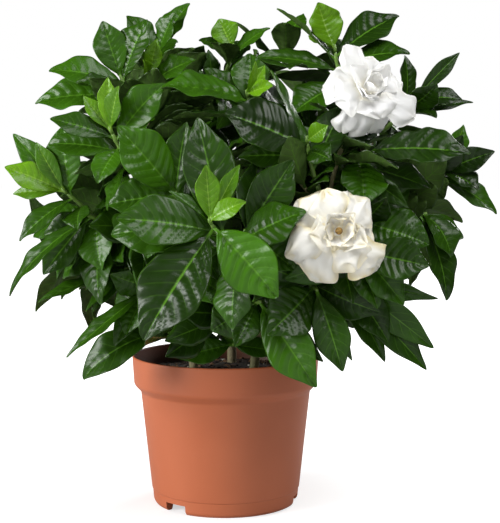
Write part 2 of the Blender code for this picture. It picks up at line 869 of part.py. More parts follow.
def plan():
    """Places everything: each shoot's or stalk's path, each blade, and each plant's branches."""
    space = Space()
    shoots = {**SHOOTS, **rule_shoots()}
    space.add("pot", *lathe_points(pot_profile(), POT_STEPS))
    space.add("soil", *lathe_points(soil_profile(), SOIL_STEPS))
    blades = {name: [] for name in [*BLOOMS, *shoots]}
    young = {name: [] for name in [*BLOOMS, *shoots]}
    dropped = 0
    for number, (name, bloom) in enumerate(BLOOMS.items()):
        rng = random.Random(93 + number)
        axis = Vector(bloom["facing"]).normalized()
        if bloom["stigma"]:
            points, radii = stigma_line(bloom)
            space.add("stigma", *tube_faces(points, [r + GAP for r in radii], 8))
        last = len(bloom["petals"]) - 1
        for i, spec in enumerate(bloom["petals"]):
            reach = Vector(spec["reach"])
            outward = (reach - axis * reach.dot(axis)).normalized()
            root = Vector(bloom["centre"]) + outward * PETAL_ROOT_RADIUS
            root += axis * (1.1 - 3.2 * i / last)
            wanted = Vector(bloom["centre"]) + reach
            blade = place_blade(space, name, root, axis, spec, wanted, rng)
            blades[name].append(blade)
            space.add(name, *blade.solid())
        base, axis = bloom_base(bloom)
        for spec in bloom["sepals"]:
            reach = Vector(spec["reach"])
            outward = (reach - axis * reach.dot(axis)).normalized()
            root = base - axis * SEPAL_ROOT_DEPTH + outward
            wanted = Vector(bloom["centre"]) + reach
            blade = place_blade(space, f"stalk_{name}", root, axis, spec, wanted, rng)
            dropped += keep(space, f"stalk_{name}", blade, young[name])

    for plant in PLANTS:
        heights = [SOIL_TOP + (CROWN_HEIGHT - SOIL_TOP) * i / 5 for i in range(6)]
        points = [trunk_point(plant, h) for h in heights]
        space.add(f"wood_{plant}", *tube_faces(points, [TRUNK_RADIUS + CLEARANCE] * 6, 6))
    ends = []
    for name, bloom in BLOOMS.items():
        base, axis = bloom_base(bloom)
        ends.append((name, bloom["plant"], base, axis, STALK_LENGTH))
    for name, (plant, tip, heading, leaves) in shoots.items():
        grown = sum(not spec["young"] for spec in leaves)
        green = LEAF_NODES[grown - 1] + GREEN_MARGIN
        ends.append((name, plant, Vector(tip), Vector(heading).normalized(), green))
    ends.sort(key=lambda end: (end[2] - trunk_point(end[1], CROWN_HEIGHT)).length)
    grips = {}
    for plant in PLANTS:
        grips[plant] = []
        for i in range(11):
            height = SOIL_TOP + 9 + (CROWN_HEIGHT - SOIL_TOP - 12) * i / 10
            point = trunk_point(plant, height)
            way = (trunk_point(plant, height + 3) - point).normalized()
            thick = TRUNK_RADIUS + (CROWN_RADIUS - TRUNK_RADIUS) * i / 10
            grips[plant].append((point, way, thick))
    paths = {}
    for name, plant, tip, heading, green in ends:
        path, foot = grow_branch(space, name, plant, grips[plant], tip, heading, green)
        room = path.length - green - 16
        extra = 0
        if name in shoots:
            grown = sum(not spec["young"] for spec in shoots[name][3])
            while (
                extra < (LOWER_LEAVES if name in SHOOTS else RULE_LOWER_LEAVES)
                and LEAF_NODES[grown + extra] + GREEN_MARGIN - green < room
            ):
                extra += 1
            if extra:
                green = LEAF_NODES[grown + extra - 1] + GREEN_MARGIN
        paths[name] = (path, green, foot, extra)
        grips[plant] += grips_along(path, green + 6, foot, SHOOT_RADIUS)
        wood = path.stretch(path.length, green, 9)
        space.add(f"wood_{plant}", *tube_faces(wood, [BRANCH_RADIUS + 0.2] * 9, 6))
        stem = path.stretch(green, 0, 6)
        space.add(name, *tube_faces(stem, [SHOOT_RADIUS + 0.2] * 6, 6))
        if name in shoots and any(spec["young"] for spec in shoots[name][3]):
            points, radii = bud_line(path)
            space.add(f"young_{name}", *tube_faces(points, [r + 0.2 for r in radii], 6))

    for number, (name, (plant, tip, heading, leaves)) in enumerate(shoots.items()):
        rng = random.Random(700 + number)
        path = paths[name][0]
        face = Vector(FACE_FRONT if name in SHOOTS else FACE_BACK)
        face = (Vector(heading).normalized() + face).normalized()
        grown = 0
        for spec in leaves:
            if spec["young"]:
                continue
            root, _ = path.at(LEAF_NODES[grown])
            wanted = Vector(tip) + Vector(spec["reach"])
            grown += 1
            blade = place_blade(space, name, root, face, spec, wanted, rng)
            dropped += keep(space, name, blade, blades[name])
        points, _ = bud_line(path)
        for k, spec in enumerate(spec for spec in leaves if spec["young"]):
            root = points[0] + (points[2] - points[0]) * (0.35 + 0.12 * k)
            wanted = Vector(tip) + Vector(spec["reach"])
            blade = place_blade(space, f"young_{name}", root, face, spec, wanted, rng)
            dropped += keep(space, f"young_{name}", blade, young[name])
    for number, (name, (plant, tip, heading, leaves)) in enumerate(shoots.items()):
        rng = random.Random(900 + number)
        path, green, foot, extra = paths[name]
        grown = sum(not spec["young"] for spec in leaves)
        first = rng.uniform(0, 360)
        for k in range(extra):
            back = LEAF_NODES[grown + k]
            root, along = path.at(back)
            pair, side = divmod(k, 2)
            clock = math.radians(first + 90 * pair + 180 * side + rng.uniform(-20, 20))
            splay = math.radians(rng.uniform(78, 100))
            length = rng.uniform(46, 62)
            out = Matrix.Rotation(clock, 3, along) @ along.orthogonal().normalized()
            aim = root + (along * math.cos(splay) + out * math.sin(splay)) * length
            aim.z = max(aim.z, LOWEST_LOWER_LEAF)
            if name in SHOOTS:
                aim.y = max(aim.y, root.y - LOWER_LEAF_FORWARD)
            reach = aim - Vector(tip)
            spec = plain_leaf(reach, length * rng.uniform(0.42, 0.52), rng.uniform(20, 50))
            blade = place_blade(space, name, root, along, spec, aim, rng)
            dropped += keep(space, name, blade, blades[name])
    print(f"blades placed {sum(map(len, blades.values()))}, dropped {dropped}")
    return shoots, paths, blades, young


def keep(space, owner, blade, kept):
    """Keeps a placed blade. Returns 1 where there was no clear place for it."""
    if blade is None:
        return 1
    kept.append(blade)
    space.add(owner, *blade.solid())
    return 0


# ================================================================ profiles
def pot_profile():
    """Half section of the pot, from the middle of its floor up inside, over the rim and down outside."""
    collar_bottom = RIM_HEIGHT - COLLAR_DEPTH
    body_top = collar_bottom - COLLAR_CHAMFER
    return [
        (0, 2),
        (BOSS_RADIUS - 2, 2),
        (BOSS_RADIUS + 1, FLOOR_RISE + WALL),
        (BODY_RADIUS_FOOT - 4.5, FLOOR_RISE + WALL),
        (BODY_RADIUS_FOOT - WALL, SEAM_HEIGHT + 2),
        (BODY_RADIUS_TOP - WALL, body_top - 1),
        (RIM_RADIUS - 1 - WALL, collar_bottom + 1),
        (RIM_RADIUS - WALL, RIM_HEIGHT - 0.5),
        (RIM_RADIUS - WALL / 2, RIM_HEIGHT),
        (RIM_RADIUS, RIM_HEIGHT - 0.8),
        (RIM_RADIUS - 1.1, collar_bottom + 1),
        (RIM_RADIUS - 1.8, collar_bottom - 0.6),
        (BODY_RADIUS_TOP, body_top),
        (BODY_RADIUS_FOOT + 0.5, SEAM_HEIGHT),
        (BODY_RADIUS_FOOT, SEAM_HEIGHT - 0.5),
        (BODY_RADIUS_FOOT - 0.7, 2.2),
        (FOOT_RADIUS + 0.5, 0),
        (CHANNEL_RADIUS + 1.5, 0),
        (CHANNEL_RADIUS, FLOOR_RISE),
        (BOSS_RADIUS + 2, FLOOR_RISE),
        (BOSS_RADIUS, 0),
        (0, 0),
    ]


def soil_profile():
    """Half section of the soil: it fills the pot with a small gap to its wall."""
    collar_bottom = RIM_HEIGHT - COLLAR_DEPTH
    inside = WALL + GAP + 0.15
    body_top = collar_bottom - COLLAR_CHAMFER
    return [
        (0, SOIL_TOP + SOIL_CROWN),
        (22, SOIL_TOP + SOIL_CROWN * 0.8),
        (44, SOIL_TOP + 0.4),
        (RIM_RADIUS - 1.4 - inside, SOIL_TOP - 1.5),
        (RIM_RADIUS - 1.7 - inside, collar_bottom + 2),
        (BODY_RADIUS_TOP - inside, body_top - 0.5),
        (BODY_RADIUS_FOOT - inside, SEAM_HEIGHT + 2.5),
        (BODY_RADIUS_FOOT - 5.5, FLOOR_RISE + WALL + 1.0),
        (BOSS_RADIUS + 1.5, FLOOR_RISE + WALL + GAP),
        (0, FLOOR_RISE + WALL + GAP),
    ]


def lathe_points(profile, steps):
    """The profile turned round Z as bare vertices and faces, for the placing test only."""
    points, faces = [], []
    rows = [p for p in profile if p[0] > 0]
    for radius, height in rows:
        for k in range(steps):
            angle = 2 * math.pi * k / steps
            points.append(Vector((radius * math.cos(angle), radius * math.sin(angle), height)))
    for i in range(len(rows) - 1):
        for k in range(steps):
            a, b = i * steps + k, i * steps + (k + 1) % steps
            faces += [(a, b, b + steps), (a, b + steps, a + steps)]
    return points, faces


# ================================================================ Blender objects
def clear_scene():
    for obj in list(bpy.data.objects):
        bpy.data.objects.remove(obj)


def material(name, colour, roughness):
    made = bpy.data.materials.new(name)
    made.use_nodes = True
    shader = made.node_tree.nodes["Principled BSDF"]
    shader.inputs["Base Color"].default_value = (*colour, 1)
    shader.inputs["Roughness"].default_value = roughness
    shader.inputs["Metallic"].default_value = 0.0
    made.diffuse_color = (*colour, 1)
    return made


def collection(name):
    made = bpy.data.collections.new(name)
    bpy.context.scene.collection.children.link(made)
    return made


def mesh_object(name, points, faces, home):
    """An object from millimetre points, with its faces turned outwards."""
    mesh = bpy.data.meshes.new(name)
    mesh.from_pydata([Vector(p) * MM for p in points], [], faces)
    form = bmesh.new()
    form.from_mesh(mesh)
    if form.calc_volume(signed=True) < 0:
        bmesh.ops.reverse_faces(form, faces=form.faces)
    form.to_mesh(mesh)
    form.free()
    obj = bpy.data.objects.new(name, mesh)
    home.objects.link(obj)
    return obj


def turned_object(name, profile, steps, home):
    """A profile of (radius, height) pairs turned round Z by a Screw modifier."""
    mesh = bpy.data.meshes.new(name)
    points = [(r * MM, 0, z * MM) for r, z in profile]
    mesh.from_pydata(points, [(i, i + 1) for i in range(len(points) - 1)], [])
    obj = bpy.data.objects.new(name, mesh)
    home.objects.link(obj)
    screw = obj.modifiers.new("turn", "SCREW")
    screw.steps = steps
    screw.render_steps = steps
    screw.use_merge_vertices = True
    screw.merge_threshold = 0.0001
    return obj


def applied(obj):
    """Gives the object the mesh that its modifiers make, and drops the modifiers."""
    graph = bpy.context.evaluated_depsgraph_get()
    mesh = bpy.data.meshes.new_from_object(obj.evaluated_get(graph))
    obj.modifiers.clear()
    obj.data = mesh
    return obj


def tube_object(name, points, radii, home, sides_step=1):
    """A tapering stem as a curve with a bevel, made a closed mesh so that it can be joined."""
    data = bpy.data.curves.new(name, "CURVE")
    data.dimensions = "3D"
    data.bevel_depth = MM
    data.bevel_resolution = sides_step
    data.use_fill_caps = True
    spline = data.splines.new("POLY")
    spline.points.add(len(points) - 1)
    for knot, point, radius in zip(spline.points, points, radii):
        knot.co = (*(point * MM), 1)
        knot.radius = radius
    curve = bpy.data.objects.new(name + "_curve", data)
    home.objects.link(curve)
    graph = bpy.context.evaluated_depsgraph_get()
    mesh = bpy.data.meshes.new_from_object(curve.evaluated_get(graph))
    form = bmesh.new()
    form.from_mesh(mesh)
    bmesh.ops.remove_doubles(form, verts=form.verts, dist=1e-6)
    bmesh.ops.recalc_face_normals(form, faces=form.faces)
    form.to_mesh(mesh)
    form.free()
    obj = bpy.data.objects.new(name, mesh)
    obj.matrix_world = curve.matrix_world
    home.objects.link(obj)
    bpy.data.objects.remove(curve)
    return obj


def keep_one_body(obj):
    """Drops loose scraps and fills what fusing sealed: only the largest shell stays."""
    form = bmesh.new()
    form.from_mesh(obj.data)
    form.verts.ensure_lookup_table()
    unseen = set(form.verts)
    shells = []
    while unseen:
        stack = [unseen.pop()]
        shell = set(stack)
        while stack:
            for edge in stack.pop().link_edges:
                for vert in edge.verts:
                    if vert in unseen:
                        unseen.discard(vert)
                        shell.add(vert)
                        stack.append(vert)
        shells.append(shell)
    shells.sort(key=len)
    spare = [v for shell in shells[:-1] for v in shell]
    if spare:
        bmesh.ops.delete(form, geom=spare, context="VERTS")
    form.to_mesh(obj.data)
    form.free()


def fuse(base, repeats, solver="MANIFOLD"):
    """Joins the repeats to the base by one Boolean union, applies it, and removes the repeats."""
    pieces = collection(base.name + "_pieces")
    for obj in repeats:
        for home in list(obj.users_collection):
            home.objects.unlink(obj)
        pieces.objects.link(obj)
    union = base.modifiers.new("fuse", "BOOLEAN")
    union.operation = "UNION"
    union.solver = solver
    union.operand_type = "COLLECTION"
    union.collection = pieces
    applied(base)
    for obj in list(pieces.objects):
        bpy.data.objects.remove(obj)
    bpy.data.collections.remove(pieces)
    keep_one_body(base)
    return base


def cut(base, cutters):
    """Cuts the cutters out of the base with one Boolean difference on their collection."""
    tools = collection(base.name + "_cutters")
    for obj in cutters:
        for home in list(obj.users_collection):
            home.objects.unlink(obj)
        tools.objects.link(obj)
    difference = base.modifiers.new("cut", "BOOLEAN")
    difference.operation = "DIFFERENCE"
    difference.solver = "EXACT"
    difference.operand_type = "COLLECTION"
    difference.collection = tools
    applied(base)
    for obj in list(tools.objects):
        bpy.data.objects.remove(obj)
    bpy.data.collections.remove(tools)
    return base


def paint(obj, look, smooth_deg=None):
    obj.data.materials.clear()
    obj.data.materials.append(look)
    if smooth_deg:
        obj.data.shade_smooth()
        obj.data.set_sharp_from_angle(angle=math.radians(smooth_deg))


# ================================================================ the pieces
def build_pot(home, look):
    pot = turned_object("pot", pot_profile(), POT_STEPS, home)
    applied(pot)
    cutters = []
    for i in range(FOOT_NOTCHES):
        angle = math.radians(FOOT_NOTCH_FIRST_DEG + 360 * i / FOOT_NOTCHES)
        bpy.ops.mesh.primitive_cube_add(size=1)
        box = bpy.context.object
        box.scale = (20 * MM, FOOT_NOTCH_WIDTH * MM, 2 * FOOT_NOTCH_HEIGHT * MM)
        middle = (FOOT_RADIUS - 2) * MM
        box.location = (middle * math.cos(angle), middle * math.sin(angle), 0)
        box.rotation_euler = (0, 0, angle)
        cutters.append(box)
    for i in range(DRAIN_HOLES):
        angle = math.radians(FOOT_NOTCH_FIRST_DEG + 360 * (i + 0.5) / DRAIN_HOLES)
        bpy.ops.mesh.primitive_cylinder_add(
            vertices=10, radius=DRAIN_HOLE_RADIUS * MM, depth=8 * MM
        )
        hole = bpy.context.object
        hole.location = (
            DRAIN_RING_RADIUS * MM * math.cos(angle),
            DRAIN_RING_RADIUS * MM * math.sin(angle),
            FLOOR_RISE * MM,
        )
        cutters.append(hole)
    cut(pot, cutters)
    paint(pot, look, 35)
    return pot


def build_soil(home, look):
    soil = turned_object("soil", soil_profile(), SOIL_STEPS, home)
    applied(soil)
    cutters = []
    for plant, ((x, y), _) in PLANTS.items():
        bpy.ops.mesh.primitive_cylinder_add(
            vertices=8,
            radius=(TRUNK_RADIUS + GAP + 0.4) * MM,
            depth=(STEM_HOLE_DEPTH + 10 + GAP) * MM,
        )
        hole = bpy.context.object
        bottom = SOIL_TOP - STEM_HOLE_DEPTH - GAP
        hole.location = (x * MM, y * MM, (bottom + (STEM_HOLE_DEPTH + 10 + GAP) / 2) * MM)
        cutters.append(hole)
    cut(soil, cutters)
    paint(soil, look)
    return soil


def build_wood(home, look, shoots, paths):
    """The woody trunk of each plant with the branches that carry its shoots and blooms."""
    for plant, ((x, y), _) in PLANTS.items():
        foot_points = [Vector((x, y, SOIL_TOP - STEM_HOLE_DEPTH)), Vector((x, y, SOIL_TOP + 4))]
        heights = [SOIL_TOP + (CROWN_HEIGHT - SOIL_TOP) * i / 3 for i in range(1, 4)]
        points = foot_points + [trunk_point(plant, h) for h in heights]
        radii = [TRUNK_RADIUS, TRUNK_RADIUS]
        radii += [TRUNK_RADIUS + (CROWN_RADIUS - TRUNK_RADIUS) * i / 3 for i in range(1, 4)]
        trunk = tube_object(f"stems_{plant}", points, radii, home, 2)
        branches = []
        for name, (path, green, foot, _) in paths.items():
            owner = BLOOMS[name]["plant"] if name in BLOOMS else shoots[name][0]
            if owner != plant:
                continue
            count = max(3, min(6, round((path.length - green) / 24) + 1))
            line = path.stretch(path.length, green + GAP, count)
            widths = [foot + (SHOOT_RADIUS - foot) * i / (count - 1) for i in range(count)]
            branches.append(tube_object(f"{name}_branch", line, widths, home, 0))
        fuse(trunk, branches)
        paint(trunk, look, 40)


def blade_objects(home, name, blades):
    made = []
    for i, blade in enumerate(blades):
        points, faces = blade.solid()
        made.append(mesh_object(f"{name}_blade_{i}", points, faces, home))
    return made


def build_shoot(home, name, path, green, grown, young, looks):
    """A leafy shoot: its green stem with the grown leaves fused on, and its young leaves apart."""
    count = 3 if green < 30 else 4
    line = path.stretch(green, 0, count)
    radii = [SHOOT_RADIUS + (TIP_RADIUS - SHOOT_RADIUS) * i / (count - 1) for i in range(count)]
    stem = tube_object(f"shoot_{name}", line, radii, home, 0)
    fuse(stem, blade_objects(home, name, grown))
    paint(stem, looks["leaf"], 60)
    if young:
        line, radii = bud_line(path)
        bud = tube_object(f"young_{name}", line, radii, home, 0)
        fuse(bud, blade_objects(home, f"{name}_young", young))
        paint(bud, looks["young"], 60)


def build_bloom(home, name, bloom, path, petals, sepals, looks):
    """A bloom: its petals fused on a receptacle, the green stalk behind it, and its stigma."""
    base, axis = bloom_base(bloom)
    centre = Vector(bloom["centre"])
    line = [centre - axis * RECEPTACLE_DEPTH, centre - axis * 0.5, centre + axis * RECEPTACLE_RISE]
    radii = [CALYX_RADIUS, RECEPTACLE_RADIUS, RECEPTACLE_RADIUS]
    heart = tube_object(name, line, radii, home, 1)
    fuse(heart, blade_objects(home, name, petals))
    paint(heart, looks["petal"], 60)
    line = path.stretch(STALK_LENGTH, 7, 4) + [path.at(0)[0] - axis * 3, path.at(0)[0]]
    radii = [SHOOT_RADIUS, STALK_RADIUS, STALK_RADIUS, STALK_RADIUS, CALYX_RADIUS * 0.8, CALYX_RADIUS]
    stalk = tube_object(f"stalk_{name}", line, radii, home, 1)
    fuse(stalk, blade_objects(home, f"{name}_sepal", sepals))
    paint(stalk, looks["stalk"], 60)
    if bloom["stigma"]:
        points, radii = stigma_line(bloom)
        stigma = tube_object(f"stigma_{name}", points, radii, home, 1)
        paint(stigma, looks["stigma"], 60)


def main():
    clear_scene()
    home = collection("gardenia")
    looks = {
        "pot": material("pot_plastic", (0.50, 0.185, 0.10), 0.55),
        "soil": material("soil", (0.018, 0.012, 0.009), 0.95),
        "wood": material("stem_bark", (0.23, 0.21, 0.09), 0.7),
        "leaf": material("leaf_green", (0.022, 0.085, 0.012), 0.3),
        "young": material("leaf_young", (0.16, 0.33, 0.03), 0.35),
        "petal": material("petal_white", (0.85, 0.83, 0.74), 0.5),
        "stalk": material("stalk_green", (0.10, 0.22, 0.04), 0.45),
        "stigma": material("stigma_ochre", (0.55, 0.36, 0.05), 0.6),
    }
    shoots, paths, blades, young = plan()
    build_pot(home, looks["pot"])
    build_soil(home, looks["soil"])
    build_wood(home, looks["wood"], shoots, paths)
    for name, placed in blades.items():
        path, green, _, _ = paths[name]
        if name in BLOOMS:
            build_bloom(home, name, BLOOMS[name], path, placed, young[name], looks)
        else:
            build_shoot(home, name, path, green, placed, young[name], looks)


main()
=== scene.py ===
"""The potted gardenia as it looks: the pot, the soil, the woody stems, the leafy shoots and the
two blooms, each a finer piece in the place of its plain solid, with a pale floor, lamps and camera.

Metres, +Z up, the origin in the middle of the pot's base. The tables are in millimetres. -Y is the
side that the blooms face.
"""

import json
import math
import random
from functools import cache

import bmesh
import bpy
import numpy as np
from mathutils import Matrix, Vector, noise
from mathutils.bvhtree import BVHTree

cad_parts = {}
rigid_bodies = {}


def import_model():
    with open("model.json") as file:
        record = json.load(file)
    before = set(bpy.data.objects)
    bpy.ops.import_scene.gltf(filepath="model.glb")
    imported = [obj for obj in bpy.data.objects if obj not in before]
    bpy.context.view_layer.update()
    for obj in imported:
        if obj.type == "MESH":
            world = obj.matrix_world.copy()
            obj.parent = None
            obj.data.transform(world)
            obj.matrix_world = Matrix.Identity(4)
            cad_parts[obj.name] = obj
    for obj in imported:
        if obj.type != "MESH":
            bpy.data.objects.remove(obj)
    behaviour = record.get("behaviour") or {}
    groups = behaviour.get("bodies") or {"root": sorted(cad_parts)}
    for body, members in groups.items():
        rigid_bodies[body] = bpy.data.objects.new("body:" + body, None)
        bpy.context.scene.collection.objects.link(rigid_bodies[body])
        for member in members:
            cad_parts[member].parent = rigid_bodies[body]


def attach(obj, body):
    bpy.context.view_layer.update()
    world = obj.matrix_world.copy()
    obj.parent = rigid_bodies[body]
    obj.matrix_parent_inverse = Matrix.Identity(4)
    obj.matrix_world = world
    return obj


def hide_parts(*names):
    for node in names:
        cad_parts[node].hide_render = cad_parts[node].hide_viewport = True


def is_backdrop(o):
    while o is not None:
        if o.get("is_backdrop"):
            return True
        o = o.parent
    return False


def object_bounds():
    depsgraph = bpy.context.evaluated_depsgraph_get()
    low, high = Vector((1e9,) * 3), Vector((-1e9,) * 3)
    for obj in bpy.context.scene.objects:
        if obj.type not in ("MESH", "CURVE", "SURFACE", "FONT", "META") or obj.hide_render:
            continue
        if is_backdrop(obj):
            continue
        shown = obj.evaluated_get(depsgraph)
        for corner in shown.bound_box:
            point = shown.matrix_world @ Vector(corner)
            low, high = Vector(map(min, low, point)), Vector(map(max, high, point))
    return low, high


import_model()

for extra in list(bpy.data.objects):
    if extra.name in ("Cube", "Light", "Camera"):
        bpy.data.objects.remove(extra)
CAD_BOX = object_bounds()

MM = 0.001
GAP = 0.3  # between pieces that touch

# Where the random draws start. Those of petals and leaves count up with the blooms and shoots.
PETAL_SEED, LEAF_SEED, LOWER_LEAF_SEED = 93, 700, 900
RULE_SEED, FILL_SEED, CRUMB_SEED = 41, 2, 17

# ---------------------------------------------------------------- pot and soil
RIM_RADIUS = 65.5
RIM_HEIGHT = 104.0
COLLAR_DEPTH = 20.0
COLLAR_CHAMFER = 5.0
BODY_RADIUS_TOP = 59.6  # under the chamfer of the collar
BODY_RADIUS_FOOT = 51.6
SEAM_HEIGHT = 10.5  # of the mould's parting line
FOOT_RADIUS = 49.0
WALL = 1.5
FLOOR_RISE = 6.0
BOSS_RADIUS = 15.0
CHANNEL_RADIUS = 44.0
POT_STEPS, POT_SIDES = 30, 144  # round the plain pot and the fine one
FOOT_NOTCHES = 3
FOOT_NOTCH_FIRST_DEG = 228.5
FOOT_NOTCH_WIDTH = 18.0
FOOT_NOTCH_HEIGHT = 6.4
FOOT_NOTCH_ROUND = 1.6  # the radius of its corners
DRAIN_HOLES = 6
DRAIN_HOLE_RADIUS = 4.0
DRAIN_RING_RADIUS = 30.0
CORNER_RADIUS = 1.1

SOIL_TOP = 92.0
SOIL_CROWN = 2.5  # how much higher it stands in the middle
SOIL_STEPS = 24  # round the plain soil
STEM_HOLE_DEPTH = 42.0
SOIL_RINGS, SOIL_SIDES = 44, 120  # of the fine soil
CRUMBS = 620
CRUMB_EDGE = 2.5  # kept free of them inside the wall

# ---------------------------------------------------------------- stems
TRUNK_RADIUS = 3.3
CROWN_RADIUS = 2.5
BRANCH_RADIUS = 1.8
SHOOT_RADIUS = 1.35
TIP_RADIUS = 0.95
CROWN_HEIGHT = 158.0
BARE_HEIGHT = CROWN_HEIGHT - SOIL_TOP  # of a trunk over the soil
GRIP_LOW, GRIP_HIGH = 9.0, 3.0  # where branches leave a trunk: over the soil, under the crown
TRUNK_GRIPS = 10
LEAST_REACH = 14.0  # from where a branch leaves to the foot of its green stem
LEAST_WOOD = 16.0  # the shortest woody part of a branch under its green stem
STEM_MARGIN = 0.2  # kept round the stems while the leaves are placed
THICK_SIDES, STALK_SIDES, THIN_SIDES = 20, 16, 12  # round the fine stems
# Each plant: where it stands in the soil and how far its crown leans from there.
PLANTS = {
    "left": ((-22.0, -8.0), (-10.0, -6.0)),
    "right": ((20.0, -12.0), (14.0, -4.0)),
    "back": ((4.0, 22.0), (2.0, 14.0)),
}

# ---------------------------------------------------------------- leaves
PETIOLE_HALF_WIDTH = 1.05
RIB_THICKNESS = 1.35
YOUNG_RIB_THICKNESS = 1.1
FOLD = 0.2  # rise of the margins over the rib, per half width
PLAIN_FOLD = 0.04
FACE_FRONT = (0.0, -0.75, 0.1)  # how much the near side's leaves turn their faces to the front
FACE_BACK = (0.0, 0.4, 0.0)  # and the far side's to the back
WAVE = 0.09  # rise and fall of the margins, per half width
CLEARANCE = 0.45  # kept round each blade when it is placed
OWN_CLEAR_FROM = 0.2  # the share of a blade from which it keeps clear of its own shoot too
ROOT_SINK = 0.8  # how far a leaf's root lies past the middle of its stem
LEAST_ARCH = 0.02  # half the arch of the flattest blade, in radians
NUDGE_SIZES, NUDGE_TRIES = 14, 6  # how often a leaf is moved or bent more, and tried at each size
LARGE_LEAF_WIDTH = 25.0
SMALL_LEAF_WIDTH = 12.5
LEAF_NODES = (3, 5, 10, 13, 18, 21, 27, 30, 37, 39, 47, 49, 58, 60)  # back from a shoot's tip
LOWER_LEAVES = 3  # those that a near shoot with room for them has below its others
RULE_LOWER_LEAVES = 1  # and a shoot of the rules
LOWER_LEAF_LENGTH, LOWER_LEAF_SPLAY = (46, 62), (78, 100)
LOWEST_LOWER_LEAF = 132.0  # the height that the tips of these stay above
SLIMNESS = (0.42, 0.52)  # the width of such a leaf over its length
LOWER_LEAF_FORWARD = 4.0  # how far they may come forward of their roots, behind the tip leaves
GREEN_MARGIN = 7.0  # from a shoot's last leaf back to its wood

# ---------------------------------------------------------------- blooms
PETAL_RIB_THICKNESS = 1.15
PETAL_SHARES = (0.1, 0.42, 0.72, 0.93)  # where a petal has its rings
RECEPTACLE_RADIUS = 3.4
RECEPTACLE_DEPTH = 3.2  # from a bloom's middle back to the flat where its stalk ends
RECEPTACLE_RISE = 1.6  # from its middle forward to the flat where its stigma stands
PETAL_ROOT_RADIUS = 2.3
STALK_LENGTH = 26.0
STALK_RADIUS = 1.4
CALYX_RADIUS = 2.7
SEPAL_ROOT_DEPTH = 2.4
STIGMA_LENGTH = 8.5
STIGMA_RADIUS = 2.2
SEPAL_WIDTH, SEPAL_ARCH = 5, 24
PETAL_ROOT_RISE, PETAL_ROOT_DROP = 1.1, 3.2  # of the inmost petal, and from there to the outmost

# The outline of a blade: the share of it that is its stalk, how steeply it widens from there, and
# how steeply it narrows to its tip.
LEAF_OUTLINE = (0.07, 0.85, 0.62)
PETAL_OUTLINE = (0.0, 0.62, 0.36)
SEPAL_OUTLINE = (0.0, 0.3, 0.9)


def leaf_shares(width):
    """Where a blade of this width has its rings: the larger it is, the more it has."""
    if width >= LARGE_LEAF_WIDTH:
        return (0.06, 0.3, 0.56, 0.8)
    if width >= SMALL_LEAF_WIDTH:
        return (0.08, 0.42, 0.75)
    return (0.12, 0.5)


def leaf(x, y, z, width, arch=38, roll=0, **other):
    """A leaf: its tip lies at (x, y, z) from the tip of its shoot. Arch and roll are in degrees."""
    made = {"reach": (x, y, z), "width": width, "arch": arch, "roll": roll, "fold": FOLD}
    made |= {"outline": LEAF_OUTLINE, "ribbed": True, "rib": RIB_THICKNESS}
    return made | {"shares": leaf_shares(width)} | other


def plain_leaf(reach, width, arch):
    """A leaf of the rules: nearly flat across."""
    return leaf(*reach, width, arch, fold=PLAIN_FOLD, ribbed=False)


def sepal(x, y, z):
    """A narrow lobe of a calyx: its tip lies at (x, y, z) from the bloom's middle."""
    return leaf(x, y, z, SEPAL_WIDTH, SEPAL_ARCH, outline=SEPAL_OUTLINE, shares=(0.14, 0.6))


def petal(x, y, z, width, arch, fold):
    """A petal: its tip lies at (x, y, z) from the bloom's middle. An arch below 0 curves it in."""
    form = {"outline": PETAL_OUTLINE, "rib": PETAL_RIB_THICKNESS, "shares": PETAL_SHARES}
    return leaf(x, y, z, width, arch, fold=fold, **form)


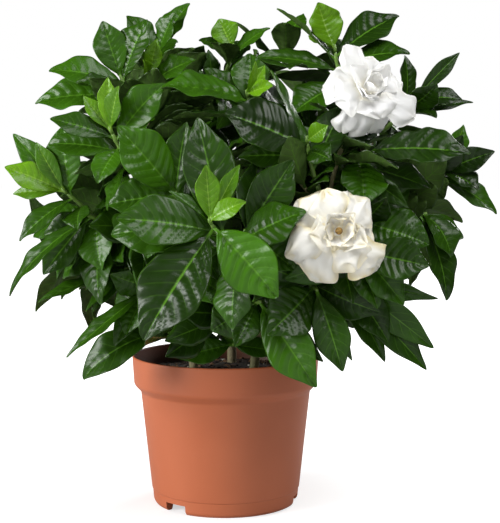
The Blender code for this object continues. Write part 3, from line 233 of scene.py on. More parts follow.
# Each shoot of the near side: its plant, its tip, the way it points, and its leaves, the grown and
# the young. The row of a leaf is what leaf() takes: its tip, its width, and its arch and roll where
# they aren't the usual ones.
SHOOTS = {
    "centre": ("right", (-5, -148, 202), (0.0, -0.75, 0.62), [
        (38, -8, -42, 31, 30, 26), (-39, -10, -66, 39, 30, 10), (-57, -2, 0, 31, 34),
        (-64, 8, -4, 34, 46), (-9, 26, 62, 29, 24), (-15, -8, 8, 11, 20),
    ], [
        (-3, -6, 34, 14, -18), (15, 0, 36, 10, 24), (20, -10, 13, 12, 60),
    ]),
    "centre_right": ("right", (14, -118, 197), (0.35, -0.7, 0.6), [
        (29, -2, 42, 25, 30), (30, 0, -24, 26), (8, 10, 44, 22, 30), (-6, 0, -34, 22),
    ], []),
    "left_middle": ("left", (-27, -116, 220), (-0.3, -0.75, 0.6), [
        (-34, -12, 39, 29, 34, 14), (-42, 4, -8, 24), (6, 6, 42, 20, 30), (-18, -2, -40, 24),
    ], []),
    "left_rosette": ("left", (-67, -100, 255), (-0.3, -0.5, 0.8), [
        (-37, -8, 21, 18, 46), (33, -8, 30, 23, 30, 20), (-8, -12, -30, 18), (-42, 14, -6, 20),
    ], [
        (-15, -4, 26, 10, 14), (-2, -6, 34, 13, 16), (7, -12, 30, 13, 20),
    ]),
    "left_glossy": ("left", (-99, -74, 218), (-0.55, -0.5, 0.6), [
        (-2, -6, 43, 26, 26), (-30, -6, -30, 15, 40), (-38, 10, 38, 16, 50), (8, -14, -22, 18),
    ], [
        (-39, -4, 17, 17, 26), (-24, 2, 31, 13, 20), (-38, 6, 6, 12, 30),
    ]),
    "left_low": ("left", (-86, -82, 205), (-0.6, -0.6, 0.2), [
        (-46, -6, -27, 26, 44, -10), (-50, 2, -52, 16, 70, 30), (2, -14, -32, 24, 50),
        (-30, 16, -14, 20),
    ], []),
    "low_left": ("left", (-64, -62, 170), (-0.75, -0.45, 0.1), [
        (-56, -6, -22, 15, 24, 40), (-30, -12, -24, 10, 50, 20), (-20, -16, -26, 9, 40, -20),
        (-26, 14, 6, 20),
    ], []),
    "low_left_front": ("left", (-50, -74, 156), (-0.5, -0.7, -0.05), [
        (-50, -8, -42, 14, 30, 40), (-8, -14, -24, 19), (-20, 0, -36, 15, 50), (-20, -14, 12, 20),
    ], []),
    "rim_left": ("left", (-40, -62, 128), (-0.75, -0.5, 0.25), [
        (-50, -14, -30, 25, 112), (-18, -20, 18, 20), (-30, 22, 8, 18),
    ], []),
    "upper_left": ("left", (-68, -48, 295), (-0.45, -0.3, 0.8), [
        (-11, 2, 35, 21, 20, 12), (19, -4, 36, 26, 26), (-45, -8, 2, 23, 50), (-27, -20, -9, 16),
        (-57, 8, -18, 25, 40), (-30, 24, 8, 20),
    ], []),
    "upper_left_inner": ("left", (-49, -48, 290), (0.0, -0.4, 0.9), [
        (31, -8, 14, 18, 44), (-6, -22, -4, 14), (22, 14, 10, 18),
    ], [
        (2, -3, 29, 12, 8), (-7, -6, 16, 8, 10),
    ]),
    "top_left": ("left", (-46, -4, 317), (0.0, -0.1, 1.0), [
        (22, -2, 30, 18, 30), (14, -12, 22, 20, 20), (-19, 6, 22, 18), (2, 34, 12, 22),
        (-34, 4, -6, 20),
    ], []),
    "top_middle": ("back", (5, -12, 314), (0.0, -0.1, 1.0), [
        (-23, 6, 8, 13, 40), (26, 4, 16, 12), (-8, -28, 2, 20), (6, 34, 10, 20),
    ], [
        (-1, -2, 23, 19, 8),
    ]),
    "top_right": ("right", (74, -32, 311), (0.1, -0.15, 1.0), [
        (43, 6, 25, 27, 34), (-39, -2, 29, 15, 20, 40), (48, -14, -2, 24, 40),
        (-53, -8, -4, 19, 30), (8, 34, 12, 22), (-30, -14, -42, 26, 30),
    ], [
        (-8, -4, 34, 25, -14), (-22, 8, 22, 14, 20),
    ]),
    "middle_rosette": ("right", (16, -98, 277), (0.05, -0.5, 0.85), [
        (-56, -12, 3, 31, 44, 22), (-1, 4, 32, 25, 26), (-22, 10, 24, 18),
        (-46, -4, -12, 20, 24, 50),
    ], [
        (3, -5, 20, 9, 6), (15, -8, 7, 13, 20), (-9, -4, 13, 6, 4),
    ]),
    "middle_right": ("right", (52, -108, 249), (0.1, -0.75, 0.6), [
        (-50, -10, 18, 35, 24, 8), (14, -12, -8, 17), (-42, 0, -8, 18), (-27, 6, 48, 16, 16, 50),
        (26, 4, 24, 22),
    ], [
        (11, -9, 15, 12, 20),
    ]),
    "bloom_side": ("right", (90, -96, 247), (0.3, -0.6, 0.6), [
        (60, -18, -4, 29, 34, -14), (-32, -14, 8, 18), (-5, -24, -36, 28, 44),
        (39, -14, -26, 22, 30, -12), (24, -20, -34, 13, 30, 40), (-42, 2, 30, 24, 30),
        (-24, -14, -24, 22, 40),
    ], []),
    "right_upper": ("right", (128, -42, 282), (0.6, -0.2, 0.75), [
        (27, 0, 28, 10, 40), (27, -6, 4, 15), (7, -14, 14, 21), (-8, 8, 27, 13), (10, -16, -14, 19),
        (38, 8, -4, 10),
    ], []),
    "right_outer": ("right", (146, -44, 234), (0.8, -0.3, 0.45), [
        (20, -14, -14, 20), (32, 0, 10, 16), (34, -4, -30, 18, 46), (14, -10, 20, 19),
        (12, 26, 8, 20),
    ], [
        (13, 6, 29, 14, 20), (-8, -12, 4, 9, 20),
    ]),
    "right_droop": ("right", (132, -62, 205), (0.75, -0.45, 0.1), [
        (14, -10, -28, 21, 80), (12, -8, -56, 22, 44), (-10, -16, -18, 20), (30, 10, -16, 18),
    ], []),
    "right_inner": ("right", (88, -104, 202), (0.5, -0.75, 0.15), [
        (38, -8, -14, 30, 34, -10), (10, -16, 22, 20), (28, 10, 20, 20),
    ], []),
    "bloom_low_side": ("right", (84, -118, 184), (0.4, -0.8, 0.0), [
        (40, -8, -8, 26, 30, -12), (26, -2, -32, 20), (10, -4, -34, 20),
    ], []),
    "low_right": ("right", (76, -98, 166), (0.5, -0.6, -0.1), [
        (26, -10, -38, 22), (56, 2, -44, 18, 24, 20), (52, 4, -58, 19, 30), (26, 4, -54, 16),
        (60, 12, -14, 13, 30, 30),
    ], []),
    "low_front_right": ("right", (58, -112, 160), (0.2, -0.75, -0.1), [
        (15, -12, -48, 21, 30, 10), (22, 4, -44, 10, 30, 30), (-30, -16, -26, 30, 34, 10),
    ], []),
    "low_front": ("left", (24, -104, 152), (0.0, -0.8, 0.0), [
        (36, -24, -48, 28, 40, 10), (38, -8, -36, 14, 30), (-16, -14, -26, 18), (-30, -2, 2, 20),
    ], []),
    "soil_front": ("left", (8, -50, 118), (0.3, -0.7, 0.5), [
        (-38, -10, -8, 17, 40), (22, -14, -2, 16), (-28, -2, 12, 14), (12, -14, 18, 14),
    ], []),
}

# The shoots of the far side and the flanks follow a rule: they stand on an ellipsoid round
# CANOPY_CENTRE, a golden angle apart, and each carries pairs of leaves at right angles.
CANOPY_CENTRE = (10.0, 4.0, 205.0)
CANOPY_RADII = (118.0, 108.0, 100.0)
FAR_SHOOTS = 10
FAR_LOWEST = -0.42
FAR_HIGHEST = 0.94
FAR_FIRST_DEG = -10.0
FAR_LAST_DEG = 190.0
RULE_LEAVES = 7
RULE_SPLAYS = (48, 74, 92, 104)  # of each pair, from the tip back, and the leaves' lengths
RULE_LENGTHS = (38, 50, 58, 54)
RULE_LEAF_SAG = 5.0  # how far gravity draws their tips down
FAR_PLANT_SPLIT = 62.0  # X beyond which a far shoot grows from the left or right plant

# Those that the rule hangs in the middle, at the top and on the left flank: plant, tip, heading.
INNER_SHOOTS = [
    ("back", (44, -10, 312), (0.05, -0.15, 1.0)),
    ("right", (58, -36, 258), (0.2, -0.6, 0.8)),
    ("left", (-44, -34, 246), (-0.2, -0.6, 0.8)),
    ("left", (-84, 0, 190), (-0.9, 0.0, 0.3)),
]


def leaning(way, clock, splay):
    """The way that leans from this one by the splay, on the clock's side of it. Both in degrees."""
    out = Matrix.Rotation(math.radians(clock), 3, way) @ way.orthogonal().normalized()
    return way * math.cos(math.radians(splay)) + out * math.sin(math.radians(splay))


def paired_leaves(heading, rng):
    """Leaves in pairs, each pair at right angles to the last and leaning out further than it."""
    first = rng.uniform(0, 90)
    leaves = []
    for k in range(RULE_LEAVES):
        pair, side = divmod(k, 2)
        clock = first + 90 * pair + 180 * side + rng.uniform(-14, 14)
        splay = RULE_SPLAYS[pair] + rng.uniform(-10, 10)
        length = RULE_LENGTHS[pair] * rng.uniform(0.88, 1.15)
        reach = leaning(heading, clock, splay) * length
        reach.z -= RULE_LEAF_SAG
        width = length * rng.uniform(0.42, 0.5)
        leaves.append(plain_leaf(reach, width, rng.uniform(24, 56)))
    return leaves


def all_shoots():
    """Every shoot by its name: its plant, tip, heading, grown leaves and young leaves."""
    rng = random.Random(RULE_SEED)
    golden = (math.sqrt(5) - 1) / 2
    made = {}
    for name, (plant, tip, heading, grown, young) in SHOOTS.items():
        young = [leaf(*row, rib=YOUNG_RIB_THICKNESS) for row in young]
        made[name] = (plant, tip, heading, [leaf(*row) for row in grown], young)
    for i, (plant, tip, heading) in enumerate(INNER_SHOOTS):
        heading = Vector(heading).normalized()
        made[f"inner_{i + 1}"] = (plant, tip, heading, paired_leaves(heading, rng), [])
    for i in range(FAR_SHOOTS):
        share = (i + 0.5) / FAR_SHOOTS
        height = FAR_LOWEST + (FAR_HIGHEST - FAR_LOWEST) * share
        turn = FAR_FIRST_DEG + (FAR_LAST_DEG - FAR_FIRST_DEG) * ((i * golden + 0.31) % 1)
        angle = math.radians(turn)
        flat = math.sqrt(1 - height**2)
        way = Vector((math.cos(angle) * flat, math.sin(angle) * flat, height))
        tip = [c + r * w for c, r, w in zip(CANOPY_CENTRE, CANOPY_RADII, way)]
        heading = (way + Vector((0, 0, 0.45))).normalized()
        plant = "back"
        if abs(tip[0]) > FAR_PLANT_SPLIT:
            plant = "left" if tip[0] < 0 else "right"
        made[f"far_{i + 1:02d}"] = (plant, tip, heading, paired_leaves(heading, rng), [])
    return {
        name: (plant, Vector(tip), Vector(heading).normalized(), *leaves)
        for name, (plant, tip, heading, *leaves) in made.items()
    }


# Each bloom: its middle, the way it faces, whether it is the old one, whose stigma shows, its
# petals from the inmost out, in rows that petal() takes, and the tips of its sepals.
BLOOM_PLANT = "right"
BLOOMS = {
    "bloom_upper": {
        "centre": (88.5, -104, 281),
        "facing": (0.3, -0.85, 0.4),
        "old": False,
        "petals": [
            (-3, -14, -4, 15, -40, 0.5), (10, -13, 3, 15, -50, 0.5), (-6, -10, 15, 13, -30, 0.45),
            (4, -12, 11, 13, -40, 0.45), (8, -9, -16, 26, 40, 0.15), (12, -4, 15, 22, 20, 0.25),
            (-16, -11, -6, 23, 30, 0.1), (-12, -2, -29, 21, 30, 0.12), (-14, -2, 27, 18, 20, 0.2),
            (31, -5, 0, 21, 50, -0.2), (-28, -4, 6, 27, 40, 0.1), (20, -2, -15, 19, 40, -0.1),
            (24, 0, 13, 21, 50, -0.15), (3, 4, 24, 22, 40, -0.1),
        ],
        "sepals": [(-19, 3, 25), (20, 10, 8), (4, 12, -16)],
    },
    "bloom_lower": {
        "centre": (68.5, -136, 197),
        "facing": (0.04, -0.99, 0.1),
        "old": True,
        "petals": [
            (-6, -12, 7, 15, -50, 0.4), (7, -12, 7, 15, -50, 0.4), (1, -12, -7, 15, -50, 0.4),
            (13, -11, -5, 17, -40, 0.35), (-13, -8, -2, 20, -20, 0.3), (11, -9, -19, 22, 30, -0.1),
            (-9, -7, 23, 22, 30, 0.1), (17, -3, 18, 20, 50, -0.1), (-13, -6, -32, 25, 50, -0.12),
            (23, -2, 3, 25, 60, -0.15), (5, 0, 26, 22, 50, -0.1), (-33, 0, -11, 20, 60, -0.2),
            (-22, 0, 23, 27, 40, -0.1), (24, 2, -26, 25, 60, -0.15), (-25, 4, -21, 20, 60, -0.2),
            (-1, 3, -34, 24, 60, -0.15), (-28, 8, 15, 19, 50, -0.15), (23, 8, -8, 20, 50, -0.15),
        ],
        "sepals": [(-14, 12, -10), (12, 12, 12)],
    },
}


# ================================================================ geometry helpers
def bands(rows, sides):
    """The corners of each face between neighbouring rings of points, round each ring in turn."""
    for i in range(rows - 1):
        for k in range(sides):
            a, b = i * sides + k, i * sides + (k + 1) % sides
            yield a, b, b + sides, a + sides


def circle(radius, height, sides):
    turns = [2 * math.pi * k / sides for k in range(sides)]
    return [(radius * math.cos(a), radius * math.sin(a), height) for a in turns]


def beta_width(x, outline):
    """Half width of a blade at a share x of its length, as a share of its greatest."""
    _, rise, fall = outline
    peak = rise / (rise + fall)
    return (x / peak) ** rise * ((1 - x) / (1 - peak)) ** fall


class Blade:
    """A leaf blade on an arc from root to tip, in millimetres."""

    def __init__(self, root, tip, up, spec, bend, shrink, phase):
        chord = tip - root
        self.root = root
        self.along = chord.normalized()
        self.normal = off_axis(up, self.along)
        self.side = self.along.cross(self.normal)
        self.half = math.radians(spec["arch"] + bend) / 2
        if abs(self.half) < LEAST_ARCH:
            self.half = LEAST_ARCH
        self.length = chord.length * self.half / math.sin(self.half)
        self.width = spec["width"] * shrink
        self.roll = math.radians(spec["roll"])
        self.phase = phase
        for key in ("fold", "outline", "rib", "shares", "ribbed"):
            setattr(self, key, spec[key])

    def station(self, u):
        """Point, side and normal of the blade at a share u of its length."""
        angle = self.half * (1 - 2 * u)
        run = (math.sin(self.half) - math.sin(angle)) / (2 * self.half)
        rise = (math.cos(angle) - math.cos(self.half)) / (2 * self.half)
        point = self.root + (self.along * run + self.normal * rise) * self.length
        tangent = self.along * math.cos(angle) + self.normal * math.sin(angle)
        normal = self.normal * math.cos(angle) - self.along * math.sin(angle)
        turn = Matrix.Rotation(self.roll * min(1, 2 * u), 3, tangent)
        return point, turn @ self.side, turn @ normal

    def half_width(self, u):
        stalk = self.outline[0]
        if u <= stalk:
            return PETIOLE_HALF_WIDTH
        x = (u - stalk) / (1 - stalk)
        return max(PETIOLE_HALF_WIDTH * (1 - x), self.width / 2 * beta_width(x, self.outline))

    def margin_rise(self, u, side):
        """How far a margin stands over the rib: the fold of the blade and its waves."""
        half = self.half_width(u)
        wave = math.sin(2 * math.pi * 1.8 * u + self.phase + 1.4 * side)
        return half * (self.fold + WAVE * wave)

    def solid(self, grow=0.0, start=0.0):
        """Vertices and faces of the closed blade: its rings from that share on, root and tip."""
        shares = [share for share in self.shares if share > start]
        if start:
            shares = [start, *shares]
        points, faces = [], []
        for u in shares:
            centre, side, normal = self.station(u)
            half = self.half_width(u) + grow
            left = centre - side * half + normal * self.margin_rise(u, -1)
            right = centre + side * half + normal * self.margin_rise(u, 1)
            under = centre - normal * (self.rib * (1 - 0.45 * u) + grow)
            if self.ribbed:
                points += [left, centre + normal * grow, right, under]
            else:
                points += [left, right, under]
        ring = len(points) // len(shares)
        # the fold of each strip runs from a margin to the middle beyond it, alike on both faces
        back_folds = (1, 3) if self.ribbed else (1, 2)
        for a, b, c, d in bands(len(shares), ring):
            if a % ring in back_folds:
                faces += [(a, d, b), (d, c, b)]
            else:
                faces += [(a, d, c), (a, c, b)]
        first, end = len(points), len(points) + 1
        along = (self.station(0.05)[0] - self.root).normalized()
        points.append(self.station(max(0.0, shares[0] - 0.08))[0] - along * ROOT_SINK)
        points.append(self.station(1.0)[0])
        last = ring * (len(shares) - 1)
        for k in range(ring):
            m = (k + 1) % ring
            faces += [(k, m, first), (last + m, last + k, end)]
        return points, faces


class Path:
    """A stem's centre line: points in millimetres, measured back from its tip."""

    def __init__(self, points):
        self.points = points
        self.back = [0.0] * len(points)
        for i in range(len(points) - 2, -1, -1):
            self.back[i] = self.back[i + 1] + (points[i + 1] - points[i]).length
        self.length = self.back[0]

    def at(self, back):
        """The point that far back from the tip, and the way the stem runs there."""
        back = min(max(back, 0.0), self.length)
        for i in range(len(self.points) - 1):
            if self.back[i] >= back >= self.back[i + 1]:
                step = self.points[i + 1] - self.points[i]
                share = (self.back[i] - back) / step.length
                return self.points[i] + step * share, step.normalized()

    def stretch(self, start, end, count):
        """Points from start back from the tip to end back from it."""
        steps = [start + (end - start) * i / (count - 1) for i in range(count)]
        return [self.at(back)[0] for back in steps]


def bezier(points, count):
    a, b, c, d = points
    made = []
    for i in range(count):
        t = i / (count - 1)
        s = 1 - t
        made.append(a * s**3 + b * 3 * s * s * t + c * 3 * s * t * t + d * t**3)
    return made


def trunk_point(plant, height):
    """A point on a plant's trunk at this height over the pot's base."""
    (x, y), (lean_x, lean_y) = PLANTS[plant]
    share = max(0.0, (height - SOIL_TOP) / BARE_HEIGHT)
    return Vector((x + lean_x * share**1.6, y + lean_y * share**1.6, height))


def tube_faces(path_points, radii, sides=6):
    """Vertices and faces of a plain tube, for the test of what a leaf would cross."""
    points = []
    for i, point in enumerate(path_points):
        before = path_points[max(i - 1, 0)]
        after = path_points[min(i + 1, len(path_points) - 1)]
        way = (after - before).normalized()
        across = way.orthogonal().normalized()
        for k in range(sides):
            turn = Matrix.Rotation(2 * math.pi * k / sides, 3, way)
            points.append(point + turn @ across * radii[i])
    return points, halved(bands(len(path_points), sides))


def halved(quads):
    return [half for a, b, c, d in quads for half in ((a, b, c), (a, c, d))]


def turned_faces(profile, steps):
    """Vertices and faces of a profile turned round Z, for the same test."""
    rows = [circle(r, z, steps) for r, z in profile if r > 0]
    return [Vector(p) for row in rows for p in row], halved(bands(len(rows), steps))


def ball_round(points):
    """Middle and radius of a ball that holds the points."""
    centre = sum(points, Vector()) / len(points)
    return centre, max((p - centre).length for p in points)


# ================================================================ placing the leaves
class Space:
    """What is already placed, so that a new leaf can be bent clear of it."""

    def __init__(self):
        self.things = []

    def add(self, owner, points, faces):
        self.things.append((owner, *ball_round(points), BVHTree.FromPolygons(points, faces)))

    def add_stem(self, owner, points, radius):
        self.add(owner, *tube_faces(points, [radius] * len(points)))

    def crosses(self, points, faces, skip=None, only=None):
        centre, radius = ball_round(points)
        tree = None
        for owner, middle, reach, other in self.things:
            if owner == skip or (only is not None and owner != only):
                continue
            if (middle - centre).length > radius + reach:
                continue
            if tree is None:
                tree = BVHTree.FromPolygons(points, faces)
            if tree.overlap(other):
                return True
        return False


def nudges(rng):
    """Small changes to a leaf, the smallest first: along its face, sideways, arch, and length."""
    yield 0.0, 0.0, 0.0, 1.0
    for size in range(1, NUDGE_SIZES + 1):
        for _ in range(NUDGE_TRIES):
            lift = rng.uniform(-2.2, 2.2) * size
            slide = rng.uniform(-1.6, 1.6) * size
            bend = rng.uniform(-3.5, 3.5) * size
            yield lift, slide, bend, 1 - 0.022 * size * rng.random()


def off_axis(way, axis):
    """The direction of the part of a way that stands square on the axis."""
    return (way - axis * way.dot(axis)).normalized()


def place_blade(space, owner, root, heading, spec, wanted, rng, placed):
    """Adds the blade of a leaf or petal, bent clear of what stands already, if that can be done."""
    phase = rng.uniform(0, 2 * math.pi)
    chord = wanted - root
    way = chord.normalized()
    face = heading - way * heading.dot(way)
    face = face.normalized() if face.length > 1e-3 else chord.orthogonal().normalized()
    side = way.cross(face)
    found = None
    for lift, slide, bend, shrink in nudges(rng):
        end = root + (chord + face * lift + side * slide) * shrink
        blade = Blade(root, end, face, spec, bend, shrink, phase)
        if space.crosses(*blade.solid(CLEARANCE), skip=owner):
            continue
        found = found or blade  # if it only crosses its own shoot, a later one may do better
        if not space.crosses(*blade.solid(CLEARANCE, OWN_CLEAR_FROM), only=owner):
            found = blade
            break
    if found:
        placed.append(found)
        space.add(owner, *found.solid())


def trunk_grips(plant):
    """Places on a trunk where a branch may grow from: point, direction and thickness there."""
    made = []
    for i in range(TRUNK_GRIPS + 1):
        height = SOIL_TOP + GRIP_LOW + (BARE_HEIGHT - GRIP_LOW - GRIP_HIGH) * i / TRUNK_GRIPS
        point = trunk_point(plant, height)
        way = (trunk_point(plant, height + 3) - point).normalized()
        thick = TRUNK_RADIUS + (CROWN_RADIUS - TRUNK_RADIUS) * i / TRUNK_GRIPS
        made.append((point, way, thick))
    return made


def grips_along(path, last_back, radius, end_radius):
    """The same along a branch, from its foot to last_back from its tip."""
    made = []
    for i in range(2, 9):
        back = path.length + (last_back - path.length) * i / 9
        point, way = path.at(back)
        made.append((point, way, radius + (end_radius - radius) * i / 9))
    return made


def grow_branch(space, name, plant, grips, tip, heading, green):
    """The clearest short branch from a plant's wood to a tip: its path, and its radius there."""
    options = []
    for point, way, thick in grips:
        reach = (tip - point).length
        if reach < green + LEAST_REACH:
            continue
        straight = (tip - point).normalized()
        cost = reach * (1 + 0.55 * (1 - way.dot(straight))) + 0.1 * abs(point.z - tip.z)
        options.append((cost, point, way, thick, straight, reach))
    options.sort(key=lambda option: option[0])
    best = None
    for _, point, way, thick, straight, reach in options:
        leave = (way * 0.55 + straight * 0.75).normalized()
        arrive = (heading * 0.8 + straight * 0.4).normalized()
        knots = [point, point + leave * reach * 0.3, tip - arrive * reach * 0.3, tip]
        path = Path(bezier(knots, 17))
        foot = max(SHOOT_RADIUS, min(BRANCH_RADIUS, 0.85 * thick))
        best = best or (path, foot)
        wood = path.stretch(path.length - 5, green - 1, 9)
        stem = path.stretch(green - 2, 0, 7)
        wood_test = tube_faces(wood, [BRANCH_RADIUS + CLEARANCE] * 9, 6)
        stem_test = tube_faces(stem, [SHOOT_RADIUS + CLEARANCE] * 7, 6)
        if space.crosses(*wood_test, skip=f"wood_{plant}"):
            continue
        if space.crosses(*stem_test, skip=f"stalk_{name}"):
            continue
        return path, foot
    return best


def bloom_base(bloom):
    """The middle of the flat behind a bloom, where its stalk ends, and the way it faces."""
    axis = Vector(bloom["facing"]).normalized()
    return Vector(bloom["centre"]) - axis * (RECEPTACLE_DEPTH + GAP), axis


def bud_line(path):
    """The short stem of a shoot's young leaves, which stands on the shoot's tip."""
    tip, way = path.at(0)
    return [tip + way * (GAP + s) for s in (0, 2.5, 5.0)], [1.1, 1.2, 0.7]


def stigma_line(bloom):
    """The middle line of a stigma and its thickness."""
    axis = Vector(bloom["facing"]).normalized()
    foot = Vector(bloom["centre"]) + axis * (RECEPTACLE_RISE + GAP)
    points = [foot + axis * STIGMA_LENGTH * share for share in (0, 0.3, 0.7, 0.92, 1)]
    radii = [STIGMA_RADIUS * share for share in (0.5, 0.5, 1, 0.85, 0.4)]
    return points, radii


def plan():
    """Places everything. By name: each shoot's or stalk's plant, path, length of green stem, radius
    at the foot and number of lower leaves; its blades; and its young leaves or sepals."""
    space = Space()
    shoots = all_shoots()
    space.add("pot", *turned_faces(pot_profile(), POT_STEPS))
    space.add("soil", *turned_faces(soil_profile(), SOIL_STEPS))
    blades = {name: [] for name in [*BLOOMS, *shoots]}
    young = {name: [] for name in blades}
    ends = []
    for number, (name, bloom) in enumerate(BLOOMS.items()):
        rng = random.Random(PETAL_SEED + number)
        base, axis = bloom_base(bloom)
        middle = Vector(bloom["centre"])
        if bloom["old"]:
            points, radii = stigma_line(bloom)
            space.add("stigma", *tube_faces(points, [r + GAP for r in radii], 8))
        last = len(bloom["petals"]) - 1
        for i, row in enumerate(bloom["petals"]):
            reach = Vector(row[:3])
            root = middle + off_axis(reach, axis) * PETAL_ROOT_RADIUS
            root += axis * (PETAL_ROOT_RISE - PETAL_ROOT_DROP * i / last)
            place_blade(space, name, root, axis, petal(*row), middle + reach, rng, blades[name])
        for row in bloom["sepals"]:
            reach = Vector(row)
            root = base - axis * SEPAL_ROOT_DEPTH + off_axis(reach, axis)
            owner = f"stalk_{name}"
            place_blade(space, owner, root, axis, sepal(*row), middle + reach, rng, young[name])
        ends.append((name, BLOOM_PLANT, base, axis, STALK_LENGTH))

    grips = {}
    for plant in PLANTS:
        heights = [SOIL_TOP + BARE_HEIGHT * i / 5 for i in range(6)]
        points = [trunk_point(plant, h) for h in heights]
        space.add_stem(f"wood_{plant}", points, TRUNK_RADIUS + CLEARANCE)
        grips[plant] = trunk_grips(plant)
    for name, (plant, tip, heading, grown, _) in shoots.items():
        ends.append((name, plant, tip, heading, LEAF_NODES[len(grown) - 1] + GREEN_MARGIN))
    ends.sort(key=lambda end: (end[2] - trunk_point(end[1], CROWN_HEIGHT)).length)
    paths = {}
    for name, plant, tip, heading, green in ends:
        path, foot = grow_branch(space, name, plant, grips[plant], tip, heading, green)
        extra, buds = 0, []
        if name in shoots:
            *_, grown, buds = shoots[name]
            room = path.length - LEAST_WOOD
            most = LOWER_LEAVES if name in SHOOTS else RULE_LOWER_LEAVES
            while extra < most and LEAF_NODES[len(grown) + extra] + GREEN_MARGIN < room:
                extra += 1
            if extra:
                green = LEAF_NODES[len(grown) + extra - 1] + GREEN_MARGIN
        paths[name] = (plant, path, green, foot, extra)
        grips[plant] += grips_along(path, green + 6, foot, SHOOT_RADIUS)
        wood, stem = path.stretch(path.length, green, 9), path.stretch(green, 0, 6)
        space.add_stem(f"wood_{plant}", wood, BRANCH_RADIUS + STEM_MARGIN)
        space.add_stem(name, stem, SHOOT_RADIUS + STEM_MARGIN)
        if buds:
            points, radii = bud_line(path)
            space.add(f"young_{name}", *tube_faces(points, [r + STEM_MARGIN for r in radii]))

    for number, (name, (_, tip, heading, grown, buds)) in enumerate(shoots.items()):
        rng = random.Random(LEAF_SEED + number)
        path = paths[name][1]
        face = (heading + Vector(FACE_FRONT if name in SHOOTS else FACE_BACK)).normalized()
        for node, spec in zip(LEAF_NODES, grown):
            wanted = tip + Vector(spec["reach"])
            place_blade(space, name, path.at(node)[0], face, spec, wanted, rng, blades[name])
        points, _ = bud_line(path)
        for k, spec in enumerate(buds):
            root = points[0] + (points[2] - points[0]) * (0.35 + 0.12 * k)
            wanted = tip + Vector(spec["reach"])
            place_blade(space, f"young_{name}", root, face, spec, wanted, rng, young[name])
    for number, (name, (_, tip, _, grown, _)) in enumerate(shoots.items()):
        rng = random.Random(LOWER_LEAF_SEED + number)
        _, path, _, _, extra = paths[name]
        first = rng.uniform(0, 360)
        for k in range(extra):
            root, along = path.at(LEAF_NODES[len(grown) + k])
            pair, side = divmod(k, 2)
            clock = first + 90 * pair + 180 * side + rng.uniform(-20, 20)
            way = leaning(along, clock, rng.uniform(*LOWER_LEAF_SPLAY))
            length = rng.uniform(*LOWER_LEAF_LENGTH)
            aim = root + way * length
            aim.z = max(aim.z, LOWEST_LOWER_LEAF)
            if name in SHOOTS:
                aim.y = max(aim.y, root.y - LOWER_LEAF_FORWARD)
            width = length * rng.uniform(*SLIMNESS)
            spec = plain_leaf(aim - tip, width, rng.uniform(20, 50))
            place_blade(space, name, root, along, spec, aim, rng, blades[name])
    return space, paths, blades, young


# ================================================================ profiles
def pot_profile():
    """Half section of the pot, from the middle of its floor up inside, over the rim and down."""
    collar_bottom = RIM_HEIGHT - COLLAR_DEPTH
    body_top = collar_bottom - COLLAR_CHAMFER
    return [
        (0, 2), (BOSS_RADIUS - 2, 2), (BOSS_RADIUS + 1, FLOOR_RISE + WALL),
        (BODY_RADIUS_FOOT - 4.5, FLOOR_RISE + WALL), (BODY_RADIUS_FOOT - WALL, SEAM_HEIGHT + 2),
        (BODY_RADIUS_TOP - WALL, body_top - 1), (RIM_RADIUS - 1 - WALL, collar_bottom + 1),
        (RIM_RADIUS - WALL, RIM_HEIGHT - 0.5), (RIM_RADIUS - WALL / 2, RIM_HEIGHT),
        (RIM_RADIUS, RIM_HEIGHT - 0.8), (RIM_RADIUS - 1.1, collar_bottom + 1),
        (RIM_RADIUS - 1.8, collar_bottom - 0.6), (BODY_RADIUS_TOP, body_top),
        (BODY_RADIUS_FOOT + 0.5, SEAM_HEIGHT), (BODY_RADIUS_FOOT, SEAM_HEIGHT - 0.5),
        (BODY_RADIUS_FOOT - 0.7, 2.2), (FOOT_RADIUS + 0.5, 0), (CHANNEL_RADIUS + 1.5, 0),
        (CHANNEL_RADIUS, FLOOR_RISE), (BOSS_RADIUS + 2, FLOOR_RISE), (BOSS_RADIUS, 0), (0, 0),
    ]


def soil_profile():
    """Half section of the soil: it fills the pot with a small gap to its wall."""
    collar_bottom = RIM_HEIGHT - COLLAR_DEPTH
    inside = WALL + GAP + 0.15
    body_top = collar_bottom - COLLAR_CHAMFER
    return [
        (0, SOIL_TOP + SOIL_CROWN), (22, SOIL_TOP + SOIL_CROWN * 0.8), (44, SOIL_TOP + 0.4),
        (RIM_RADIUS - 1.4 - inside, SOIL_TOP - 1.5), (RIM_RADIUS - 1.7 - inside, collar_bottom + 2),
        (BODY_RADIUS_TOP - inside, body_top - 0.5), (BODY_RADIUS_FOOT - inside, SEAM_HEIGHT + 2.5),
        (BODY_RADIUS_FOOT - 5.5, FLOOR_RISE + WALL + 1.0),
        (BOSS_RADIUS + 1.5, FLOOR_RISE + WALL + GAP), (0, FLOOR_RISE + WALL + GAP),
    ]


